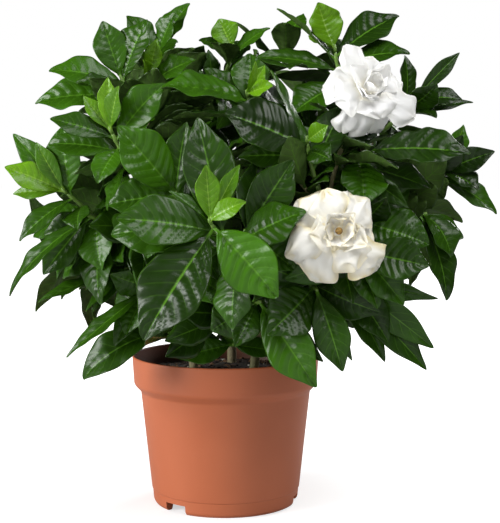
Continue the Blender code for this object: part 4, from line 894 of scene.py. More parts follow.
# ================================================================ fine surfaces
FILL_STEP = 5.5  # between the pairs of small leaves on a bare branch
FILL_TRIES = 22  # for each, a little shorter every time
FILL_LONGEST, FILL_SHORTEST = 48, 22
FILL_SPLAY = (50, 100)
FILL_LOWEST = 112.0
FILL_CLEAR_FROM = 0.26  # the share of a small leaf, from its foot, that may touch its branch
LEAF_VEINS = 8.5
VEIN_SLANT = 0.19
VEIN_CURVE = 1.15
QUILT_HEIGHT = 1.9  # how far the cells between the veins of a leaf 30 mm wide are raised
GROOVE_DEPTH = 0.4  # and how deep its rib lies
BLADE_THICKNESS = 0.5
PETAL_THICKNESS = 0.5
INNER_PETALS = 10
GOLDEN_ANGLE_DEG = 137.5
INSIDE_SHADE = 0.7  # the tone of the small leaves inside the bush over that of the others
PAINTED_LEAF_LIGHT = {  # painted light and shade: leaves lighter than their neighbours, as for the highlight on the first leaf of the centre shoot, and below nought darker
    ("centre", 0): 0.6, ("centre", 1): -0.3, ("centre", 2): -0.2, ("left_middle", 0): 0.3,
    ("middle_right", 0): -0.4, ("middle_right", 2): -0.3, ("centre_right", 1): 0.25,
    ("low_front", 0): 0.3, ("bloom_side", 1): 0.4,
}
# Rows along and columns across of each kind of leaf and petal.
LARGE_GRID, FRONT_GRID, BACK_GRID, YOUNG_GRID = (44, 15), (36, 11), (32, 9), (34, 11)
SMALL_GRID, SEPAL_GRID, PETAL_GRID, INNER_PETAL_GRID = (22, 7), (28, 9), (40, 23), (26, 13)


def smoothstep(low, high, value):
    t = np.clip((value - low) / (high - low), 0.0, 1.0)
    return t * t * (3 - 2 * t)


class Skin:
    """Points, faces and pattern coordinates gathered for one mesh."""

    def __init__(self):
        self.points = []
        self.places = []
        self.tones = []
        self.faces = []
        self.looks = []
        self.count = 0

    def add(self, points, places, tones, faces, look=0):
        """Adds arrays of points, (across, along) places and (tone, side) pairs, and faces."""
        self.points.append(np.asarray(points, float))
        self.places.append(np.broadcast_to(np.asarray(places, float), (len(points), 2)))
        self.tones.append(np.broadcast_to(np.asarray(tones, float), (len(points), 2)))
        start = self.count
        self.faces += [tuple(start + k for k in face) for face in faces]
        self.looks += [look] * len(faces)
        self.count += len(points)

    def object(self, name, *materials):
        points = np.concatenate(self.points) * MM
        mesh = bpy.data.meshes.new(name)
        mesh.from_pydata(points.tolist(), [], self.faces)
        index = np.empty(len(mesh.loops), np.int64)
        mesh.loops.foreach_get("vertex_index", index)
        for layer, values in (("place", self.places), ("tone", self.tones)):
            uv = mesh.uv_layers.new(name=layer)
            uv.data.foreach_set("uv", np.concatenate(values)[index].astype(np.float32).ravel())
        for look in materials:
            mesh.materials.append(look)
        mesh.polygons.foreach_set("material_index", np.array(self.looks, np.int32))
        mesh.shade_smooth()
        obj = bpy.data.objects.new(name, mesh)
        bpy.context.scene.collection.objects.link(obj)
        return obj


@cache
def sheet_faces(rows, columns):
    """Faces of a thin closed sheet: a grid above, one below with the same margins, and two ends."""
    above = np.arange(rows * columns).reshape(rows, columns)
    below = above.copy()
    below[:, 1:-1] = above.size + np.arange(rows * (columns - 2)).reshape(rows, -1)
    root = above.size + rows * (columns - 2)
    above, below = above.tolist(), below.tolist()
    faces = []
    for (a, b), (c, d) in zip(zip(above, above[1:]), zip(below, below[1:])):
        for j in range(columns - 1):
            faces += [(a[j], a[j + 1], b[j + 1], b[j]), (c[j], d[j], d[j + 1], c[j + 1])]
    for j in range(columns - 1):
        faces.append((above[0][j + 1], above[0][j], root))
        faces.append((below[0][j], below[0][j + 1], root))
        faces.append((above[-1][j], above[-1][j + 1], root + 1))
        faces.append((below[-1][j + 1], below[-1][j], root + 1))
    return faces


def add_sheet(skin, above, below, root, tip, across, along, tone, look):
    """Adds a closed sheet from its upper and lower grids, each rows by columns by 3."""
    rows, columns = above.shape[:2]
    points = [above.reshape(-1, 3), below[:, 1:-1].reshape(-1, 3), [root], [tip]]
    place = np.stack(np.broadcast_arrays(across[None, :] * 0.5 + 0.5, along[:, None]), -1)
    places = [place.reshape(-1, 2), place[:, 1:-1].reshape(-1, 2)]
    places += [[(0.5, along[0])], [(0.5, along[-1])]]
    upper = np.tile((tone, 1.0), (rows * columns, 1))
    lower = np.tile((tone, 0.0), (rows * (columns - 2) + 2, 1))
    tones = np.concatenate([upper, lower])
    faces = sheet_faces(rows, columns)
    skin.add(np.concatenate(points), np.concatenate(places), tones, faces, look)


def frames(blade, shares, across):
    """Centre, side and normal of the blade at each share, its half widths and its margins' rise."""
    rows = [blade.station(u) for u in shares]
    centre, side, normal = (np.array([tuple(row[k]) for row in rows])[:, None] for k in range(3))
    width = np.array([[blade.half_width(u)] for u in shares])
    left, right = (np.array([[blade.margin_rise(u, end)] for u in shares]) for end in (-1, 1))
    return centre, side, normal, width, np.where(across < 0, left, right)


def add_leaf(skin, blade, grid, tone, rng, look=0):
    """A leaf with a rounded stalk, sunken midrib and side veins, and a waved margin."""
    rows, columns = grid
    shares = np.linspace(0, 1, rows) ** 1.05
    shares[-1] = 0.992
    across = np.sin(np.linspace(-math.pi / 2, math.pi / 2, columns) * 0.86)
    across = across / across[-1]
    along = (shares - blade.outline[0]) / (1 - blade.outline[0])
    centre, side, normal, width, rise = frames(blade, shares, across)
    share, v, x = shares[:, None], across[None, :], along[:, None]
    t = np.abs(v)
    narrow = 0.6 * smoothstep(0.58, 1.0, share) ** 1.3
    width = width * (1 + 0.06 * smoothstep(0.1, 0.4, share) - narrow)
    blend = smoothstep(0.0, 0.08, x)
    scale = blade.width / 30
    depth, waves = rng.uniform(0.03, 0.08), rng.uniform(3, 4.5)
    ripple = depth * np.sin(2 * math.pi * (waves * x + 0.25 * v) + blade.phase)
    rise = rise * t**1.5 + width * ripple * t**3
    cell = LEAF_VEINS * (x - VEIN_SLANT * t**VEIN_CURVE)
    puff = np.abs(np.sin(math.pi * cell)) ** 1.1
    fade = np.clip(t / 0.1, 0, 1) * (1 - t**4) * smoothstep(0.0, 0.12, x)
    quilt = QUILT_HEIGHT * scale * puff * fade * (1 - smoothstep(0.86, 1, x))
    groove = -GROOVE_DEPTH * scale * np.exp(-((t * width / 1.2) ** 2)) * blend
    round_ = np.sqrt(np.clip(1 - v**2, 0, 1))
    lift = blend * (rise + quilt + groove) + (1 - blend) * 0.45 * round_
    rib = np.exp(-((t * width) ** 2)) * blade.rib * 0.62 * (1 - 0.75 * np.clip(x, 0, 1))
    thick = blend * (BLADE_THICKNESS * (1 - 0.6 * t**3) * (1 - t**8) + rib)
    thick = thick + (1 - blend) * 1.5 * round_
    above = centre + side * (width * v)[..., None] + normal * lift[..., None]
    below = above - normal * thick[..., None]
    step = centre[1, 0] - centre[0, 0]
    root = np.array(blade.root) - step / max(np.linalg.norm(step), 1e-6) * ROOT_SINK
    tip = np.array(blade.station(1.0)[0])
    add_sheet(skin, above, below, root, tip, across, along, tone, look)


def add_petal(skin, blade, grid, tone, rng):
    """A soft petal: a pointed, creased tip that bends back, rolled margins, and ripples."""
    rows, columns = grid
    shares = np.sin(np.linspace(0, math.pi / 2, rows)) * 0.985 + 0.006
    across = np.sin(np.linspace(-math.pi / 2, math.pi / 2, columns))
    centre, side, normal, width, rise = frames(blade, shares, across)
    v, x = across[None, :], shares[:, None]
    t = np.abs(v)
    narrow = 0.6 * smoothstep(0.76, 1.0, x) ** 1.2
    width = width * (1 + 0.14 * smoothstep(0.3, 0.75, x) - narrow)
    rise = rise * t**1.7
    roll = np.where(v < 0, rng.uniform(-0.1, 0.45), rng.uniform(-0.1, 0.45))
    curl = roll * width * smoothstep(0.5, 1.0, t) ** 1.6 * smoothstep(0.2, 0.8, x)
    rough = 0.35 + 0.65 * min(1.0, 2.5 * tone)
    crease = rng.choice((-0.34, -0.2, 0.3, 0.4)) * rough * width * (t - 0.35)
    crease = crease * smoothstep(0.45, 0.95, x)
    end = rng.uniform(0.04, 0.26) * blade.width * smoothstep(0.74, 1.0, x) ** 1.5
    phase = rng.uniform(0, 2 * math.pi)
    waves = rng.uniform(1.9, 2.8)
    ripple = 0.09 * width * t**1.6 * np.sin(2 * math.pi * (waves * x + 0.3 * v) + phase)
    ripple += 0.035 * width * np.sin(2 * math.pi * (1.1 * x + 1.3 * v) + 2 * phase)
    fine = 0.02 * width * np.sin(2 * math.pi * (2.6 * v + 0.4 * x) + phase)
    lift = rise - curl - crease - end + (ripple + fine * smoothstep(0.1, 0.5, x))
    thick = PETAL_THICKNESS * (1 - 0.75 * t**3) * (1 - 0.5 * x)
    uneven = np.where(v < 0, rng.uniform(0, 2 * math.pi), rng.uniform(0, 2 * math.pi))
    spread = v * (1 + 0.09 * t * np.sin(2 * math.pi * 1.9 * x + uneven))
    sway = rng.uniform(-0.16, 0.16) * blade.width * smoothstep(0.55, 1.0, x) ** 1.5
    ahead = np.gradient(centre, axis=0)
    ahead /= np.linalg.norm(ahead, axis=2, keepdims=True)
    ragged = rng.uniform(0.04, 0.14) * rough * blade.width * smoothstep(0.62, 1.0, x)
    ragged = ragged * np.cos(2 * math.pi * rng.uniform(0.9, 1.4) * v + rng.uniform(-0.8, 0.8))
    above = centre + side * (width * spread + sway)[..., None]
    above = above + normal * lift[..., None] + ahead * ragged[..., None]
    below = above - normal * thick[..., None]
    last, before = above[-1, columns // 2], above[-2, columns // 2]
    tip = last + (last - before) * 0.3
    add_sheet(skin, above, below, np.array(blade.root), tip, across, shares, tone, 0)


def add_tube(skin, points, radii, sides, tone, look=0):
    """A round stem through these points. Its place is the turn round it and the length along it."""
    points = np.array([tuple(p) for p in points])
    radii = np.asarray(radii, float)
    steps = np.diff(points, axis=0)
    run = np.concatenate([[0], np.cumsum(np.linalg.norm(steps, axis=1))])
    ways = np.empty_like(points)
    ways[1:-1] = points[2:] - points[:-2]
    ways[0], ways[-1] = steps[0], steps[-1]
    ways /= np.linalg.norm(ways, axis=1)[:, None]
    across = np.cross(ways[0], (0.3, 0.2, 0.93))
    if np.linalg.norm(across) < 0.1:
        across = np.cross(ways[0], (1, 0, 0))
    rings, places = [], []
    turns = np.arange(sides) * 2 * math.pi / sides
    for i, way in enumerate(ways):
        across = across - way * across.dot(way)
        across /= np.linalg.norm(across)
        other = np.cross(way, across)
        spread = np.cos(turns)[:, None] * across + np.sin(turns)[:, None] * other
        rings.append(points[i] + spread * radii[i])
        places.append(np.stack([turns / (2 * math.pi), np.full(sides, run[i] / 10)], 1))
    ends = [tuple(range(sides))[::-1], tuple(range((len(points) - 1) * sides, len(points) * sides))]
    faces = [*bands(len(points), sides), *ends]
    skin.add(np.concatenate(rings), np.concatenate(places), (tone, 1.0), faces, look)


def fine_line(path, start, end, spacing):
    """Points along a path from start back to end back from its tip, smoothed."""
    count = max(3, int(abs(start - end) / spacing) + 1)
    points = np.array([tuple(p) for p in path.stretch(start, end, count)])
    for _ in range(2):
        points[1:-1] = points[1:-1] * 0.5 + (points[:-2] + points[2:]) * 0.25
    return points


# ================================================================ looks
class Wire:
    """An output of a node in a material. Sums and products of wires become Math nodes."""

    def __init__(self, graph, socket):
        self.graph, self.socket = graph, socket

    def __add__(self, other):
        return self.graph.math("ADD", self, other)

    def __sub__(self, other):
        return self.graph.math("SUBTRACT", self, other)

    def __rsub__(self, other):
        return self.graph.math("SUBTRACT", other, self)

    def __mul__(self, other):
        return self.graph.math("MULTIPLY", self, other)

    def __truediv__(self, other):
        return self.graph.math("DIVIDE", self, other)

    def __pow__(self, other):
        return self.graph.math("POWER", self, other)

    def __abs__(self):
        return self.graph.math("ABSOLUTE", self)


class Graph:
    """The node tree of a material or of the world, built by small calls."""

    def __init__(self, owner, shader="Principled BSDF"):
        owner.use_nodes = True
        self.owner = owner
        self.tree = owner.node_tree
        self.shader = self.tree.nodes[shader]

    def plug(self, socket, value):
        if isinstance(value, Wire):
            self.tree.links.new(value.socket, socket)
        elif isinstance(value, tuple) and socket.type == "RGBA":
            socket.default_value = (*value, 1)
        else:
            socket.default_value = value

    def node(self, kind, inputs, out=0, **settings):
        made = self.tree.nodes.new(f"ShaderNode{kind}")
        for key, value in settings.items():
            setattr(made, key, value)
        for key, value in inputs.items():
            self.plug(made.inputs[key], value)
        return Wire(self, made.outputs[out])

    def math(self, operation, *values):
        return self.node("Math", dict(enumerate(values)), operation=operation)

    def least(self, a, b):
        return self.math("MINIMUM", a, b)

    def most(self, a, b):
        return self.math("MAXIMUM", a, b)

    def root(self, value):
        return self.math("SQRT", value)

    def step(self, low, high, value):
        """0 below low, 1 above high, and smooth between."""
        return self.node("MapRange", {0: value, 1: low, 2: high}, interpolation_type="SMOOTHSTEP")

    def mix(self, share, a, b):
        return self.node("Mix", {0: share, 6: a, 7: b}, 2, data_type="RGBA")

    def grade(self, low, high, value, a, b):
        """The colour a where the value is below low, b above high, and smooth between."""
        return self.mix(self.step(low, high, value), a, b)

    def join(self, x, y):
        return self.node("CombineXYZ", {"X": x, "Y": y})

    def split(self, vector):
        outputs = self.node("SeparateXYZ", {0: vector}).socket.node.outputs
        return [Wire(self, socket) for socket in outputs]

    def uv(self, layer):
        return self.split(self.node("UVMap", {}, uv_map=layer))

    def object_place(self):
        return self.node("TexCoord", {}, "Object")

    def noise(self, scale, detail=2.0, rough=0.5, vector=None):
        inputs = {"Scale": scale, "Detail": detail, "Roughness": rough}
        inputs["Vector"] = vector or self.object_place()
        return self.node("TexNoise", inputs)

    def finish(self, **inputs):
        for key, value in inputs.items():
            self.plug(self.shader.inputs[key.replace("_", " ")], value)
        return self.owner

    def surface(self, colour, roughness, height, strength, distance, **others):
        """The material, its bumps given by their height."""
        inputs = {"Strength": strength, "Distance": distance, "Height": height}
        relief = self.node("Bump", inputs)
        return self.finish(Base_Color=colour, Roughness=roughness, Normal=relief, **others)


def material_graph(name):
    return Graph(bpy.data.materials.new(name))


# The greens of a leaf: the darkest and the brightest of its face, its underside, and its veins.
GROWN_GREENS = (
    (0.0065, 0.021, 0.0007), (0.034, 0.115, 0.0022), (0.06, 0.11, 0.025), (0.085, 0.22, 0.015)
)
YOUNG_GREENS = (
    (0.022, 0.085, 0.002), (0.10, 0.24, 0.004), (0.10, 0.20, 0.015), (0.22, 0.38, 0.045)
)


def leaf_look(name, dark, bright, under, vein):
    """A glossy leaf: veins from its place on the blade, and its shade from its tone, which on the
    grown leaves holds painted light and shade.
    """
    g = material_graph(name)
    across, along, _ = g.uv("place")
    tone, upper, _ = g.uv("tone")
    t = abs(across * 2.0 - 1.0)
    cell = (along - t**VEIN_CURVE * VEIN_SLANT) * LEAF_VEINS
    side_vein = 1.0 - g.step(0.0, 0.3, abs(g.math("SINE", cell * math.pi)))
    side_vein = side_vein * (1.0 - g.step(0.55, 0.97, t)) * g.step(0.0, 0.06, along)
    rib = 1.0 - g.step(0.0, 1.0, t / (along * -0.045 + 0.085))
    rib = g.most(rib, 1.0 - g.step(-0.03, 0.05, along))
    shade = g.noise(55.0, 3.0) * 0.5 + (tone - 0.28)
    colour = g.grade(0.0, 1.0, shade, dark, bright)
    colour = g.mix(side_vein * (tone * 0.30 + 0.08), colour, vein)
    edge = g.step(0.955, 0.995, t)
    colour = g.mix(g.most(rib * 0.75, edge * 0.3), colour, vein)
    pale = g.mix(g.most(side_vein, rib) * 0.5, under, vein)
    net = g.node("TexVoronoi", {"Scale": 620.0}, feature="DISTANCE_TO_EDGE")
    relief = g.step(0.0, 0.12, net) * 0.04 + side_vein * -0.5 + g.noise(240.0) * 0.05
    gloss = g.noise(90.0) * 0.14 + 0.24 + (upper * -0.24 + 0.24)
    coat = {"Coat_Weight": upper * 0.32, "Coat_Roughness": 0.3, "Specular_IOR_Level": 0.08}
    return g.surface(g.mix(upper, pale, colour), gloss, relief, 0.35, 0.0004, **coat)


def petal_look():
    """Waxy white petals, faintly veined; the older the petal, the creamier its margins."""
    g = material_graph("petal_white_fine")
    across, along, _ = g.uv("place")
    age, _, _ = g.uv("tone")
    rim = g.most(g.step(0.55, 1.0, abs(across * 2.0 - 1.0)), g.step(0.62, 1.0, along))
    old = g.step(0.36, 0.56, g.noise(70.0, 3.0)) * (rim * age)
    warm = (1.0 - g.step(0.0, 0.5, along)) * (age * 0.9 + 0.35)
    colour = g.mix(g.least(age * 1.3, 0.9), (0.85, 0.85, 0.84), (0.97, 0.94, 0.82))
    colour = g.mix(g.least(warm, 0.75), colour, (0.95, 0.86, 0.55))
    colour = g.mix(g.least(old * 1.4, 0.95), colour, (0.80, 0.68, 0.35))
    streak = g.noise(3.0, 2.0, 0.5, g.join(across * 26.0, along))
    relief = streak * 0.6 + g.noise(160.0) * 0.4
    soft = {"Subsurface_Weight": 0.35, "Subsurface_Radius": (1.0, 0.96, 0.86)}
    soft |= {"Subsurface_Scale": 0.003, "Sheen_Weight": 0.05}
    return g.surface(colour, 0.42, relief, 0.25, 0.0005, **soft)


def bark_look():
    """Woody stems: tan, green where young, with fine cracks and pale pores."""
    g = material_graph("stem_bark_fine")
    turn, run, _ = g.uv("place")
    grain = g.noise(4.0, 4.0, 0.6, g.join(turn * 9.0, run * 0.8))
    pores = 1.0 - g.step(0.12, 0.3, g.node("TexVoronoi", {"Scale": 330.0}))
    colour = g.grade(0.3, 0.7, grain, (0.13, 0.10, 0.05), (0.36, 0.31, 0.17))
    colour = g.mix(g.step(0.35, 0.65, g.noise(26.0)) * 0.55, colour, (0.18, 0.22, 0.06))
    colour = g.mix(pores * 0.4, colour, (0.48, 0.42, 0.28))
    return g.surface(colour, 0.68, grain + pores * 0.5, 0.7, 0.0004)


def green_stem_look():
    """The green stems that carry the leaves."""
    g = material_graph("stem_green_fine")
    turn, run, _ = g.uv("place")
    grain = g.noise(3.0, 3.0, 0.5, g.join(turn * 14.0, run))
    colour = g.mix(grain, (0.07, 0.16, 0.02), (0.20, 0.34, 0.06))
    return g.surface(colour, 0.42, grain, 0.4, 0.0003)


def pot_look():
    """Moulded terracotta-coloured plastic: faint turned lines, scuffs, a satin surface, and painted
    shade with soil stains on the inner wall above the soil, darkest near the soil."""
    g = material_graph("pot_plastic_fine")
    east, north, height = g.split(g.object_place())
    face_east, face_north, _ = g.split(g.node("TexCoord", {}, "Normal"))
    outward = (east * face_east + north * face_north) / g.root(east * east + north * north)
    cloud = g.noise(9.0, 3.0)
    colour = g.grade(0.3, 0.75, cloud, (0.375, 0.096, 0.036), (0.425, 0.118, 0.048))
    scuff = g.step(0.66, 0.74, g.noise(34.0, 5.0, 0.65))
    colour = g.mix(scuff * 0.14, colour, (0.60, 0.29, 0.18))
    # painted shade with soil stains: near black on the inner wall between the soil and the rim,
    # darkest near the soil
    high = g.step((SOIL_TOP - 4) * MM, (SOIL_TOP - 2) * MM, height)
    near_soil = 1.0 - g.step(SOIL_TOP * MM, (RIM_HEIGHT + 4) * MM, height)
    inner_shade_and_stain = (1.0 - g.step(-0.2, 0.2, outward)) * high * (near_soil * 0.5 + 0.35)
    lines = g.math("SINE", height * 4200.0)
    # the painted shade with soil stains goes onto the inner wall here
    colour = g.mix(inner_shade_and_stain, colour, (0.035, 0.018, 0.010))
    relief = lines * 0.10 + g.noise(420.0) * 0.5
    gloss = cloud * 0.12 + 0.42
    return g.surface(colour, gloss, relief, 0.22, 0.0002, Specular_IOR_Level=0.4)


def soil_look():
    """Damp peat, dark, with lighter bark and a few pale grains, from the tone of each crumb."""
    g = material_graph("soil_fine")
    tone, _, _ = g.uv("tone")
    clod = g.noise(240.0, 4.0, 0.65)
    colour = g.grade(0.3, 0.7, clod, (0.010, 0.006, 0.004), (0.048, 0.028, 0.016))
    colour = g.grade(0.5, 0.8, tone, colour, (0.16, 0.085, 0.04))
    colour = g.grade(0.93, 0.97, tone, colour, (0.62, 0.58, 0.50))
    return g.surface(colour, 0.93, clod, 0.8, 0.001)


def stigma_look():
    g = material_graph("stigma_fine")
    grain = g.noise(700.0, 3.0)
    colour = g.grade(0.3, 0.7, grain, (0.07, 0.035, 0.005), (0.33, 0.19, 0.03))
    return g.surface(colour, 0.6, grain, 0.6, 0.0004)


# ================================================================ the pieces
def settle(obj, node):
    """The piece rides on the body and stands for its CAD node, which it hides."""
    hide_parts(node)
    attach(obj, "root")


def rounded(profile, radius, steps=3):
    """A profile of (r, z) pairs with its corners rounded."""
    made = [profile[0]]
    for i in range(1, len(profile) - 1):
        corner = Vector(profile[i])
        before, after = Vector(profile[i - 1]) - corner, Vector(profile[i + 1]) - corner
        reach = min(radius, before.length * 0.35, after.length * 0.35)
        first, last = corner + before.normalized() * reach, corner + after.normalized() * reach
        for k in range(steps + 1):
            s = k / steps
            made.append(tuple(first * (1 - s) ** 2 + corner * 2 * s * (1 - s) + last * s**2))
    made.append(profile[-1])
    return made


def lathe(skin, rings, ends, tone):
    """A closed form: rings of points, from the one end on the axis round outside to the other."""
    rows, sides = len(rings), len(rings[0])
    faces = [(a, d, c, b) for a, b, c, d in bands(rows, sides)]
    first, last = rows * sides, (rows - 1) * sides
    for k in range(sides):
        m = (k + 1) % sides
        faces += [(first, k, m), (first + 1, last + m, last + k)]
    points = np.concatenate([*rings, [(0, 0, height) for height in ends]])
    skin.add(points, points[:, :2] / 100, (tone, 1.0), faces)


def build_pot():
    skin = Skin()
    profile = rounded(pot_profile(), CORNER_RADIUS)
    rings = [circle(r, z, POT_SIDES) for r, z in profile if r > 0]
    lathe(skin, rings, (profile[0][1], profile[-1][1]), 0.3)
    pot = skin.object("pot_shell", pot_look())
    home = bpy.data.collections.new("cutters")

    def cutter(radius, height, angle):
        """Sets the object just made that far from the axis and up, at this angle round it."""
        obj = bpy.context.object
        obj.location = (radius * MM * math.cos(angle), radius * MM * math.sin(angle), height * MM)
        home.objects.link(obj)
        return obj

    for i in range(FOOT_NOTCHES):
        angle = math.radians(FOOT_NOTCH_FIRST_DEG + 360 * i / FOOT_NOTCHES)
        bpy.ops.mesh.primitive_cube_add(size=1)
        box = cutter(FOOT_RADIUS - 2, 0, angle)
        box.rotation_euler.z = angle
        box.scale = (20 * MM, FOOT_NOTCH_WIDTH * MM, 2 * FOOT_NOTCH_HEIGHT * MM)
        round_corners = box.modifiers.new("round", "BEVEL")
        round_corners.width = FOOT_NOTCH_ROUND * MM
        round_corners.segments = 4
    for i in range(DRAIN_HOLES):
        angle = math.radians(FOOT_NOTCH_FIRST_DEG + 360 * (i + 0.5) / DRAIN_HOLES)
        size = {"radius": DRAIN_HOLE_RADIUS * MM, "depth": 8 * MM}
        bpy.ops.mesh.primitive_cylinder_add(vertices=32, **size)
        cutter(DRAIN_RING_RADIUS, FLOOR_RISE, angle)
    cut = pot.modifiers.new("cut", "BOOLEAN")
    cut.operation = "DIFFERENCE"
    cut.solver = "EXACT"
    cut.operand_type = "COLLECTION"
    cut.collection = home
    graph = bpy.context.evaluated_depsgraph_get()
    mesh = bpy.data.meshes.new_from_object(pot.evaluated_get(graph))
    pot.modifiers.clear()
    pot.data = mesh
    for obj in list(home.objects):
        bpy.data.objects.remove(obj)
    bpy.data.collections.remove(home)
    mesh.shade_smooth()
    mesh.set_sharp_from_angle(angle=math.radians(30))
    settle(pot, "pot")


def soil_height(x, y):
    """The height of the soil's rough top, in millimetres."""
    r = math.hypot(x, y)
    top = SOIL_TOP + SOIL_CROWN * (1 - min(1, (r / 50) ** 2)) - 0.9 * max(0, (r - 45) / 18)
    rough = noise.fractal(Vector((x, y, 0)) * 0.07, 0.8, 2.0, 4) * 1.1
    return top - 0.6 + rough


def build_soil():
    skin = Skin()
    profile = soil_profile()
    reach = profile[3][0]
    highest = SOIL_TOP + SOIL_CROWN
    rings = []
    for i in range(1, SOIL_RINGS + 1):
        ring = circle(reach * i / SOIL_RINGS, 0, SOIL_SIDES)
        rings.append([(x, y, min(soil_height(x, y), highest)) for x, y, _ in ring])
    rings += [circle(r, z, SOIL_SIDES) for r, z in profile[4:-1]]
    lathe(skin, rings, (soil_height(0, 0), profile[-1][1]), 0.2)
    rng = random.Random(CRUMB_SEED)
    ball = bmesh.new()
    bmesh.ops.create_icosphere(ball, subdivisions=2, radius=1.0)
    ball_points = [v.co.copy() for v in ball.verts]
    ball_faces = [tuple(v.index for v in f.verts) for f in ball.faces]
    ball.free()
    for i in range(CRUMBS):
        r = (reach - CRUMB_EDGE) * math.sqrt(rng.random())
        a = rng.uniform(0, 2 * math.pi)
        x, y = r * math.cos(a), r * math.sin(a)
        size = rng.uniform(0.5, 1.9) ** 1.3
        shape = Vector((rng.uniform(0.6, 1.6), rng.uniform(0.6, 1.2), rng.uniform(0.35, 0.7)))
        spin = Matrix.Rotation(rng.uniform(0, 2 * math.pi), 3, "Z")
        spin = spin @ Matrix.Rotation(rng.uniform(-0.5, 0.5), 3, "X")
        shift = Vector((i * 3.7, 0, 0))
        middle = Vector((x, y, soil_height(x, y) + 0.1 * size))
        crumb = []
        for p in ball_points:
            bulge = 1 + 0.45 * noise.noise(p * 1.3 + shift)
            spot = middle + spin @ Vector([c * s for c, s in zip(p * bulge, shape)]) * size
            spot.z = min(spot.z, highest + 0.6)
            crumb.append(tuple(spot))
        skin.add(crumb, np.array(crumb)[:, :2] / 100, (rng.random(), 1.0), ball_faces)
    settle(skin.object("soil_fill", soil_look()), "soil")


def build_wood(paths, look):
    """The trunk of each plant from its hole in the soil, and the branches from it."""
    for plant, ((x, y), _) in PLANTS.items():
        skin = Skin()
        buried = np.linspace(SOIL_TOP - STEM_HOLE_DEPTH, SOIL_TOP, 8)
        heights = np.concatenate([buried, np.linspace(SOIL_TOP, CROWN_HEIGHT, 28)[1:]])
        points = [trunk_point(plant, h) if h > SOIL_TOP else Vector((x, y, h)) for h in heights]
        share = np.clip((heights - SOIL_TOP) / BARE_HEIGHT, 0, 1)
        radii = TRUNK_RADIUS + (CROWN_RADIUS - TRUNK_RADIUS) * share
        rng = random.Random(plant)
        bumps = np.array([rng.uniform(-0.14, 0.2) for _ in heights])
        add_tube(skin, points, radii + bumps * (heights > SOIL_TOP), THICK_SIDES, 0.2)
        for owner, path, green, foot, _ in paths.values():
            if owner != plant:
                continue
            line = fine_line(path, path.length, green + GAP, 2.6)
            share = np.linspace(0, 1, len(line))
            radii = foot + (SHOOT_RADIUS - foot) * share
            radii = radii * (1 + 0.12 * (np.sin(share * path.length / 4.2) > 0.93))
            add_tube(skin, line, radii, THIN_SIDES, 0.2 + 0.6 * rng.random())
        settle(skin.object(f"wood_{plant}", look), f"stems_{plant}")


def fill_leaves(space, paths):
    """Small leaves in pairs along the bare branches inside the bush, each clear of all others."""
    rng = random.Random(FILL_SEED)
    filled = {}
    for name, (_, path, green, _, _) in paths.items():
        filled[name] = []
        back = green + FILL_STEP
        while back < path.length - FILL_STEP / 2:
            root, along = path.at(back)
            first = rng.uniform(0, 360)
            for turn in (0, 180):
                for tried in range(FILL_TRIES):
                    length = FILL_LONGEST - (FILL_LONGEST - FILL_SHORTEST) * tried / FILL_TRIES
                    clock = first + turn + rng.uniform(-80, 80)
                    aim = root + leaning(along, clock, rng.uniform(*FILL_SPLAY)) * length
                    if aim.z < FILL_LOWEST:
                        continue
                    chord = (aim - root).normalized()
                    face = off_axis(along, chord)
                    width = length * rng.uniform(*SLIMNESS)
                    spec = plain_leaf(aim - root, width, rng.uniform(20, 56))
                    blade = Blade(root, aim, face, spec, 0.0, 1.0, rng.uniform(0, 2 * math.pi))
                    if not space.crosses(*blade.solid(CLEARANCE, FILL_CLEAR_FROM)):
                        filled[name].append(blade)
                        space.add(name, *blade.solid())
                        break
            back += FILL_STEP
    return filled


def shoot_tone(blade, rng, lighter=0.0):
    """How light a leaf is, with painted light and shade: the lightest are on the upper left,
    towards the key lamp, the darkest on the upper right, and each differs a little at random.
    """
    tip = blade.station(1.0)[0]
    # painted light: lighter higher up and to the left; painted shade: darker on the upper right
    tone = 0.44 + 0.0006 * (tip.z - 220) - 0.0012 * min(0.0, tip.x)
    tone -= 0.003 * max(0.0, tip.x - 15) * smoothstep(195, 240, tip.z)
    return float(np.clip(tone + lighter + rng.uniform(-0.17, 0.17), 0, 1))


def build_shoot(name, path, green, grown, young, filled, looks):
    rng = random.Random(name)
    skin = Skin()
    line = fine_line(path, green, 0, 1.5)
    share = np.linspace(1, 0, len(line))
    radii = TIP_RADIUS + (SHOOT_RADIUS - TIP_RADIUS) * share
    back = share * green
    for node in LEAF_NODES:
        radii = radii + 0.38 * np.exp(-(((back - node) / 1.1) ** 2))
    add_tube(skin, line, radii, THIN_SIDES, 0.5, 1)
    for number, blade in enumerate(grown):
        grid = BACK_GRID
        if name in SHOOTS:
            grid = LARGE_GRID if blade.width >= LARGE_LEAF_WIDTH else FRONT_GRID
        # the painted light and shade of this single leaf
        lighter = PAINTED_LEAF_LIGHT.get((name, number), 0.0)
        add_leaf(skin, blade, grid, shoot_tone(blade, rng, lighter), rng)
    for blade in filled:
        add_leaf(skin, blade, SMALL_GRID, INSIDE_SHADE * shoot_tone(blade, rng), rng)
    leaves = skin.object(f"leafy_shoot_{name}", looks["leaf"], looks["green"])
    settle(leaves, f"shoot_{name}")
    if young:
        skin = Skin()
        add_tube(skin, *bud_line(path), 10, 0.5, 1)
        for blade in young:
            add_leaf(skin, blade, YOUNG_GRID, rng.uniform(0.3, 1.0), rng)
        tips = skin.object(f"young_leaves_{name}", looks["young"], looks["green"])
        settle(tips, f"young_{name}")


